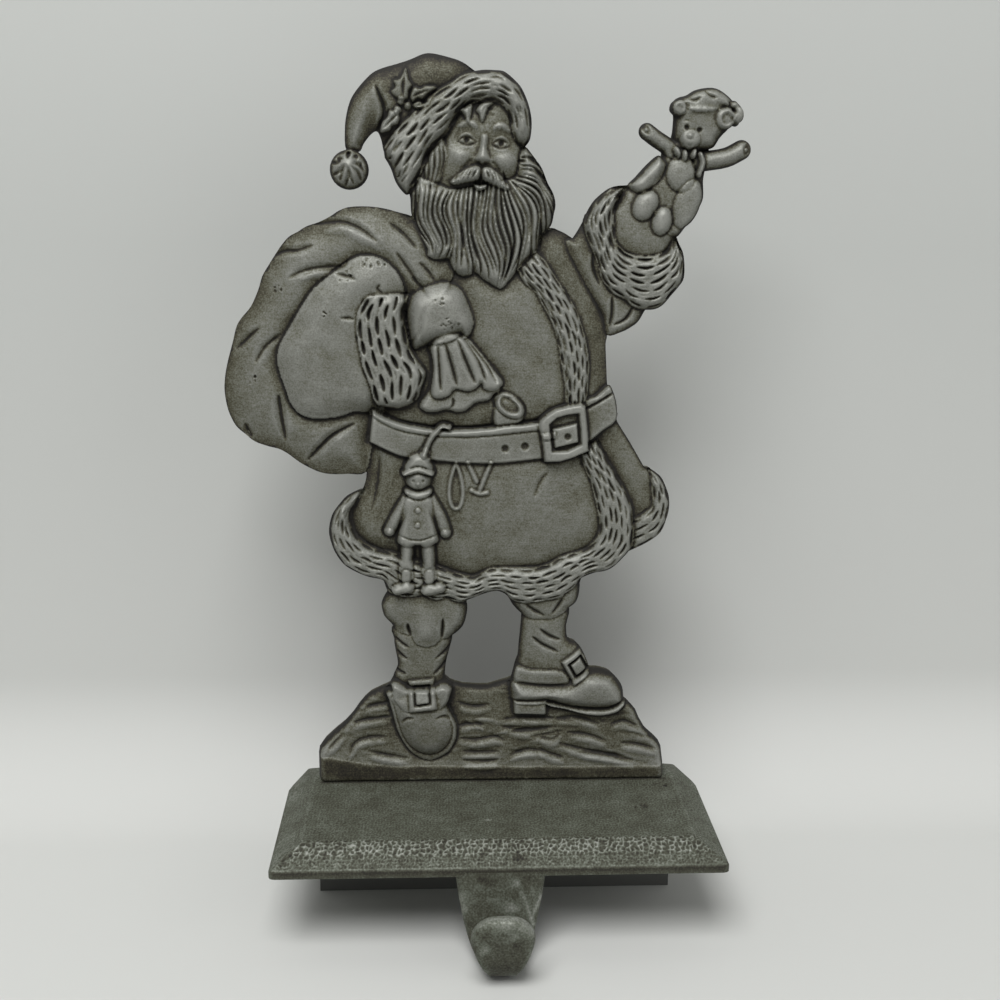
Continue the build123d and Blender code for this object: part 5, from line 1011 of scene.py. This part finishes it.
# Painted shade: a dark line on the plate along the figure's foot, where figure and plate meet.
FOOT_FRONT, FOOT_HALF = BACK - LIP_LEVEL, 48.0
plate_wear_and_shade += SEAM_SHADE * np.exp(-(((plate_y - FOOT_FRONT) / SEAM_WIDTH) ** 2)) * (abs(plate_x) < FOOT_HALF)
SPOTS = [(4.6, -26, 1.5, 0.8, 0.4), (-2.6, -11, 0.9, 0.35, -0.5)]
for spot_x, spot_y, wide, long, strength in SPOTS:
    plate_wear_and_shade += strength * np.exp(-(((plate_x - spot_x) / wide) ** 2) - ((plate_y - spot_y) / long) ** 2)
PLATE_PITS, PIT_DEPTH, PIT_TONE = 14, 0.25, 0.25
for spot_x, spot_y in ((46, 8), (38.5, -5), (-54, -24.6)):
    for _ in range(PLATE_PITS):
        pit_x, pit_y = spot_x + chance.normal(0, 1.2), spot_y + chance.normal(0, 0.9)
        pit = np.exp(-(((plate_x - pit_x) ** 2 + (plate_y - pit_y) ** 2) / chance.uniform(0.08, 0.2)))
        height -= PIT_DEPTH * pit
        plate_wear_and_shade += PIT_TONE * pit

plate = bmesh.new()
bmesh.ops.create_grid(plate, x_segments=ACROSS, y_segments=len(row_y) - 1, size=1.0)
patina_and_shade_layer = plate.verts.layers.float.new("patina")
plate_places = np.stack([plate_x, plate_y, height], -1).reshape(-1, 3).tolist()
for vert, place, value in zip(plate.verts, plate_places, plate_wear_and_shade.ravel().tolist()):
    vert.co = Vector(place) * MM
    vert[patina_and_shade_layer] = value
EDGE_TONE = 0.55
rim = [e for e in plate.edges if e.is_boundary]
for vert in bmesh.ops.extrude_edge_only(plate, edges=rim)["geom"]:
    if isinstance(vert, bmesh.types.BMVert):
        vert.co.z = 0
        vert[patina_and_shade_layer] = EDGE_TONE

# Underside: flat, with a sunk seat for each screw's head
SEAT_GAP, SEAT_DEPTH = 0.4, 2.5
screw_low, screw_high = (np.array(corner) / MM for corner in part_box("fixing_screws"))
head = (screw_high[1] - screw_low[1]) / 2
seats = []
for at in (screw_low[0] + head, screw_high[0] - head):
    ring = bmesh.ops.create_circle(plate, segments=40, radius=(head + SEAT_GAP) * MM,
                                   matrix=Matrix.Translation(Vector((at, screw_low[1] + head, 0)) * MM))
    seats.append([e for e in plate.edges if e.verts[0] in ring["verts"]])
outline = [e for e in plate.edges if e.is_boundary]
bmesh.ops.triangle_fill(plate, use_beauty=True, edges=outline + sum(seats, []))
for seat in seats:
    raised = bmesh.ops.extrude_edge_only(plate, edges=seat)["geom"]
    seat_verts = [v for v in raised if isinstance(v, bmesh.types.BMVert)]
    seat_edges = [e for e in raised if isinstance(e, bmesh.types.BMEdge) and e.is_boundary]
    bmesh.ops.translate(plate, verts=seat_verts, vec=(0, 0, SEAT_DEPTH * MM))
    bmesh.ops.edgeloop_fill(plate, edges=seat_edges)
bmesh.ops.recalc_face_normals(plate, faces=plate.faces)

# Hook: a tongue cast with the plate. It leaves the plate's front underside, bends forward and up, and
# ends in a rounded tip. Its edges are rubbed and its inner side is scratched.
HOOK_WIDTH, TIP_WIDTH, THICK, PROUD = 25.4, 17.0, 4.5, 0.3
DROP, LEAN, BEND, BEND_ANGLE, TIP_RISE = 12.7, 2.0, 4.75, radians(166), 10.5
ROUND_TILT, ROUND_FOOT, ROUND_SPREAD, ROUND_EASE = radians(30), 3.2, 8.0, 0.06
TIP_ROUND, TIP_BLUNT, TIP_LEFT, THIN_LEFT = 8.5, 3.0, 0.24, 0.35
SIDE_FULLNESS, FACE_FULLNESS, BLEND = 0.55, 0.8, 6
STATIONS, AROUND = 150, 88
root = np.array((-REAR - PROUD, LIP_HEIGHT / 2))
stem = np.array((-LEAN, -DROP - LIP_HEIGHT / 2))
stem_length = np.hypot(*stem)
along = stem / stem_length
outward = np.array((-along[1], along[0]))
bend_at = root + stem - outward * BEND
run = np.linspace(0, stem_length + BEND * BEND_ANGLE + TIP_RISE, STATIONS)
turned = np.clip((run - stem_length) / BEND, 0, BEND_ANGLE)
heading = np.stack([along[0] * np.cos(turned) + along[1] * np.sin(turned),
                    along[1] * np.cos(turned) - along[0] * np.sin(turned)], 1)
away = np.stack([-heading[:, 1], heading[:, 0]], 1)
inner = np.where((run < stem_length)[:, None], root + along * run[:, None], bend_at + away * BEND)
inner = inner + heading * np.maximum(run - stem_length - BEND * BEND_ANGLE, 0)[:, None]
angle = np.linspace(0, 2 * pi, AROUND, endpoint=False)
flat = np.sign(np.cos(angle)) * abs(np.cos(angle)) ** SIDE_FULLNESS
thick = (1 + np.sign(np.sin(angle)) * abs(np.sin(angle)) ** FACE_FULLNESS) / 2
share = run / run[-1]
to_tip = run[-1] - run
domed, blunt = (np.sqrt(1 - (1 - np.clip(to_tip / size, 0, 1)) ** 2) for size in (TIP_ROUND, TIP_BLUNT))
half = (HOOK_WIDTH + (TIP_WIDTH - HOOK_WIDTH) * share) / 2 * (TIP_LEFT + (1 - TIP_LEFT) * domed)
through = THICK * ((thick - 0.5) * (THIN_LEFT + (1 - THIN_LEFT) * blunt)[:, None] + 0.5)
hook_y = inner[:, :1] + away[:, :1] * through
hook_z = inner[:, 1:] + away[:, 1:] * through
level = sin(ROUND_TILT) * (hook_y - bend_at[0]) + cos(ROUND_TILT) * (hook_z - bend_at[1])
level = np.maximum(level + BEND + THICK, 0)
limit = np.sqrt(ROUND_FOOT**2 + ROUND_SPREAD * level) - ROUND_EASE * level
straight = np.maximum(abs(flat) * half[:, None], 0.01)
hook_x = np.sign(flat) * (straight**-BLEND + limit**-BLEND) ** (-1 / BLEND)
edge_wear = np.clip(abs(hook_x) / np.minimum(half[:, None], np.maximum(limit, 0.1)), 0, 1) ** 8
SCRATCHES = [[(3.8, 1.8), (5.8, 6.5), (8.1, 13.5)], [(10, 6.5), (7.7, 11.8)]]
hook_run = np.repeat(run[:, None], AROUND, 1)
HOOK_TONE, EDGE_WEAR, TIP_WEAR, SCRATCH_WEAR, SCRATCH, BLOTCHES = 0.58, 0.26, 0.34, 0.34, 0.45, 220
tip_wear = np.exp(-((to_tip[:, None] / 3.4) ** 2) - (hook_x / 3.2) ** 2)
hook_worn = HOOK_TONE - EDGE_WEAR * edge_wear - TIP_WEAR * tip_wear
for _ in range(BLOTCHES):
    blotch_x, blotch_run = chance.uniform(-12, 12), chance.uniform(0, run[-1])
    reach = chance.uniform(0.4, 1.6)
    blotch = np.exp(-(((hook_x - blotch_x) ** 2 + (hook_run - blotch_run) ** 2) / reach**2))
    hook_worn += chance.uniform(-0.24, 0.24) * blotch
for scratch in SCRATCHES:
    distance, _, _ = measure(curve(scratch), hook_x, hook_run)
    hook_worn = hook_worn - SCRATCH_WEAR * np.exp(-((distance / SCRATCH) ** 2)) * (thick < 0.5)
rings = []
for ring_x, ring_y, ring_z, ring_worn in zip(hook_x, hook_y, hook_z, hook_worn):
    ring = []
    for place in zip(ring_x.tolist(), ring_y.tolist(), ring_z.tolist(), ring_worn.tolist()):
        ring.append(plate.verts.new(Vector(place[:3]) * MM))
        ring[-1][patina_and_shade_layer] = place[3]
    rings.append(ring)
for one, two in zip(rings, rings[1:]):
    for a, b, c, d in zip(one, one[1:] + one[:1], two[1:] + two[:1], two):
        plate.faces.new((a, b, c, d))
for ring in (rings[0][::-1], rings[-1]):
    plate.faces.new(ring)
bmesh.ops.recalc_face_normals(plate, faces=plate.faces)
base_mesh = bpy.data.meshes.new("base_and_hook_cast")
plate.to_mesh(base_mesh)
plate.free()
base_mesh.shade_smooth()
base_mesh.set_sharp_from_angle(angle=radians(50))
base = bpy.data.objects.new("base_and_hook_cast", base_mesh)
bpy.context.collection.objects.link(base)
BASE_TONES = [(0.0, "969892"), (0.25, "74776e"), (0.45, "575b50"), (0.6, "424337"), (0.8, "2a281e"),
              (1.0, "16150f")]
base_mesh.materials.append(antiqued("grained_cast_pewter", BASE_TONES, grain=0.5, brushed=0.06))
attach(base, "root")
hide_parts("base_with_hook")

# Screws: two plain slotted screws of zinc-plated steel. They come up through the base and hold the
# figure from below, and keep the shape of their solids.
zinc = bpy.data.materials.new("zinc_plated_steel")
zinc.use_nodes = True
zinc_shader = zinc.node_tree.nodes["Principled BSDF"]
zinc_shader.inputs["Base Color"].default_value = colour("a9abac")
zinc_shader.inputs["Metallic"].default_value = 0.9
zinc_shader.inputs["Roughness"].default_value = 0.35
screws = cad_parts["fixing_screws"].data
screws.materials.clear()
screws.materials.append(zinc)

# Stage: a pale sheet that sweeps up close behind, is see-through from its back and darkens up the wall as
# painted shade, and a block under the back of the base, so that the hook hangs clear. The block is dark
# grey as painted shade: it stands in for the deep shadow under the base.
FLOOR = base_low[2] - 0.4
WALL, BEND_UP, REACH, HIGH = 66.0, 38.0, 2400.0, 1400.0
paper = bpy.data.materials.new("pale_paper")
paper.use_nodes = True
paper_tree = paper.node_tree
paper_shader = paper_tree.nodes["Principled BSDF"]
paper_shader.inputs["Roughness"].default_value = 0.9
# Painted shade: the sheet darkens from the floor up the wall, for the light falling off higher up.
place = node(paper_tree, "SeparateXYZ", {0: node(paper_tree, "TexCoord").outputs["Object"]})
rise = node(paper_tree, "MapRange", {"Value": place.outputs["Z"]}, in_1=0.0, in_2=0.15).outputs[0]
wall_painted_shade = node(paper_tree, "Mix", {"Factor": rise}, data_type="RGBA", in_6=colour("c3c4c1"),
             in_7=colour("b1b3b0"))
paper_tree.links.new(wall_painted_shade.outputs[2], paper_shader.inputs["Base Color"])
reverse = node(paper_tree, "NewGeometry").outputs["Backfacing"]
nothing = node(paper_tree, "BsdfTransparent").outputs[0]
one_sided = node(paper_tree, "MixShader", {0: reverse, 1: paper_shader.outputs[0], 2: nothing})
paper_tree.links.new(one_sided.outputs[0], paper_tree.nodes["Material Output"].inputs["Surface"])
profile = [(-REACH, FLOOR), (WALL - BEND_UP, FLOOR)]
for turn in range(6, 91, 6):
    profile.append((WALL - BEND_UP * (1 - sin(radians(turn))), FLOOR + BEND_UP * (1 - cos(radians(turn)))))
profile.append((WALL, HIGH))
sweep = bmesh.new()
sweep_side = [sweep.verts.new(Vector((-REACH, y, z)) * MM) for y, z in profile]
sweep_edges = [sweep.edges.new(pair) for pair in zip(sweep_side, sweep_side[1:])]
moved = bmesh.ops.extrude_edge_only(sweep, edges=sweep_edges)["geom"]
moved_verts = [v for v in moved if isinstance(v, bmesh.types.BMVert)]
bmesh.ops.translate(sweep, verts=moved_verts, vec=(2 * REACH * MM, 0, 0))
sweep.normal_update()
bmesh.ops.reverse_faces(sweep, faces=[f for f in sweep.faces if f.normal.y > 0 or f.normal.z < 0])
floor_mesh = bpy.data.meshes.new("floor")
sweep.to_mesh(floor_mesh)
sweep.free()
floor_mesh.shade_smooth()
floor_mesh.materials.append(paper)
floor = bpy.data.objects.new("floor", floor_mesh)
bpy.context.collection.objects.link(floor)
BLOCK_WIDTH, BLOCK_FRONT, BLOCK_BACK = 96.0, 2.0, 28.0
block = bmesh.new()
block_middle = Vector((0, (BLOCK_FRONT + BLOCK_BACK) / 2, FLOOR / 2)) * MM
extent = Vector((BLOCK_WIDTH, BLOCK_BACK - BLOCK_FRONT, -FLOOR)) * MM
bmesh.ops.create_cube(block, size=1.0,
                      matrix=Matrix.Translation(block_middle) @ Matrix.Diagonal(extent).to_4x4())
block_mesh = bpy.data.meshes.new("block")
block.to_mesh(block_mesh)
block.free()
# Painted shade: the block's dark grey stands in for the shadow under the base.
block_painted_shade = bpy.data.materials.new("dark_grey_painted_shade")
block_painted_shade.use_nodes = True
block_painted_shade_shader = block_painted_shade.node_tree.nodes["Principled BSDF"]
block_painted_shade_shader.inputs["Base Color"].default_value = colour("5a5b58")
block_painted_shade_shader.inputs["Roughness"].default_value = 0.95
block_mesh.materials.append(block_painted_shade)
riser = bpy.data.objects.new("block", block_mesh)
bpy.context.collection.objects.link(riser)

# Light: one large soft source in front, above and to the left, a weaker one on the right, and an even
# room light that the metal can mirror.
world = bpy.data.worlds.new("room")
bpy.context.scene.world = world
world.use_nodes = True
room_light = world.node_tree.nodes["Background"]
room_light.inputs["Color"].default_value = (1, 1, 1, 1)
room_light.inputs["Strength"].default_value = 0.26


def lamp(name, place, target, size, power):
    """A square soft light aimed at a point."""
    light = bpy.data.lights.new(name, "AREA")
    light.size = size
    light.energy = power
    made = bpy.data.objects.new(name, light)
    made.location = place
    made.rotation_euler = (Vector(target) - Vector(place)).to_track_quat("-Z", "Y").to_euler()
    bpy.context.collection.objects.link(made)


lamp("key", (-0.14, -0.45, 0.8), (0, 0, 0.1), size=0.5, power=8.4)
lamp("fill", (0.7, -0.5, 0.4), (0, 0, 0.1), size=0.6, power=1.2)

# Camera: above the figure's middle and looking a little down, as the photograph was taken
CAMERA_AT = Vector((-14.07, -306.96, 165.58)) * MM
PITCH_DOWN, YAW, ROLL = radians(13.95), radians(2.68), radians(-0.51)
forward = Vector((sin(YAW) * cos(PITCH_DOWN), cos(YAW) * cos(PITCH_DOWN), -sin(PITCH_DOWN)))
right = Vector((cos(YAW), -sin(YAW), 0))
down = forward.cross(right)
right, down = cos(ROLL) * right + sin(ROLL) * down, cos(ROLL) * down - sin(ROLL) * right
lens = bpy.data.cameras.new("camera")
lens.lens = 45.0
lens.sensor_width = 36.0
lens.clip_start = 0.01
camera = bpy.data.objects.new("camera", lens)
camera.matrix_world = Matrix((right, -down, -forward)).transposed().to_4x4()
camera.location = CAMERA_AT
bpy.context.collection.objects.link(camera)
bpy.context.scene.camera = camera
bpy.context.scene.view_settings.view_transform = "Standard"
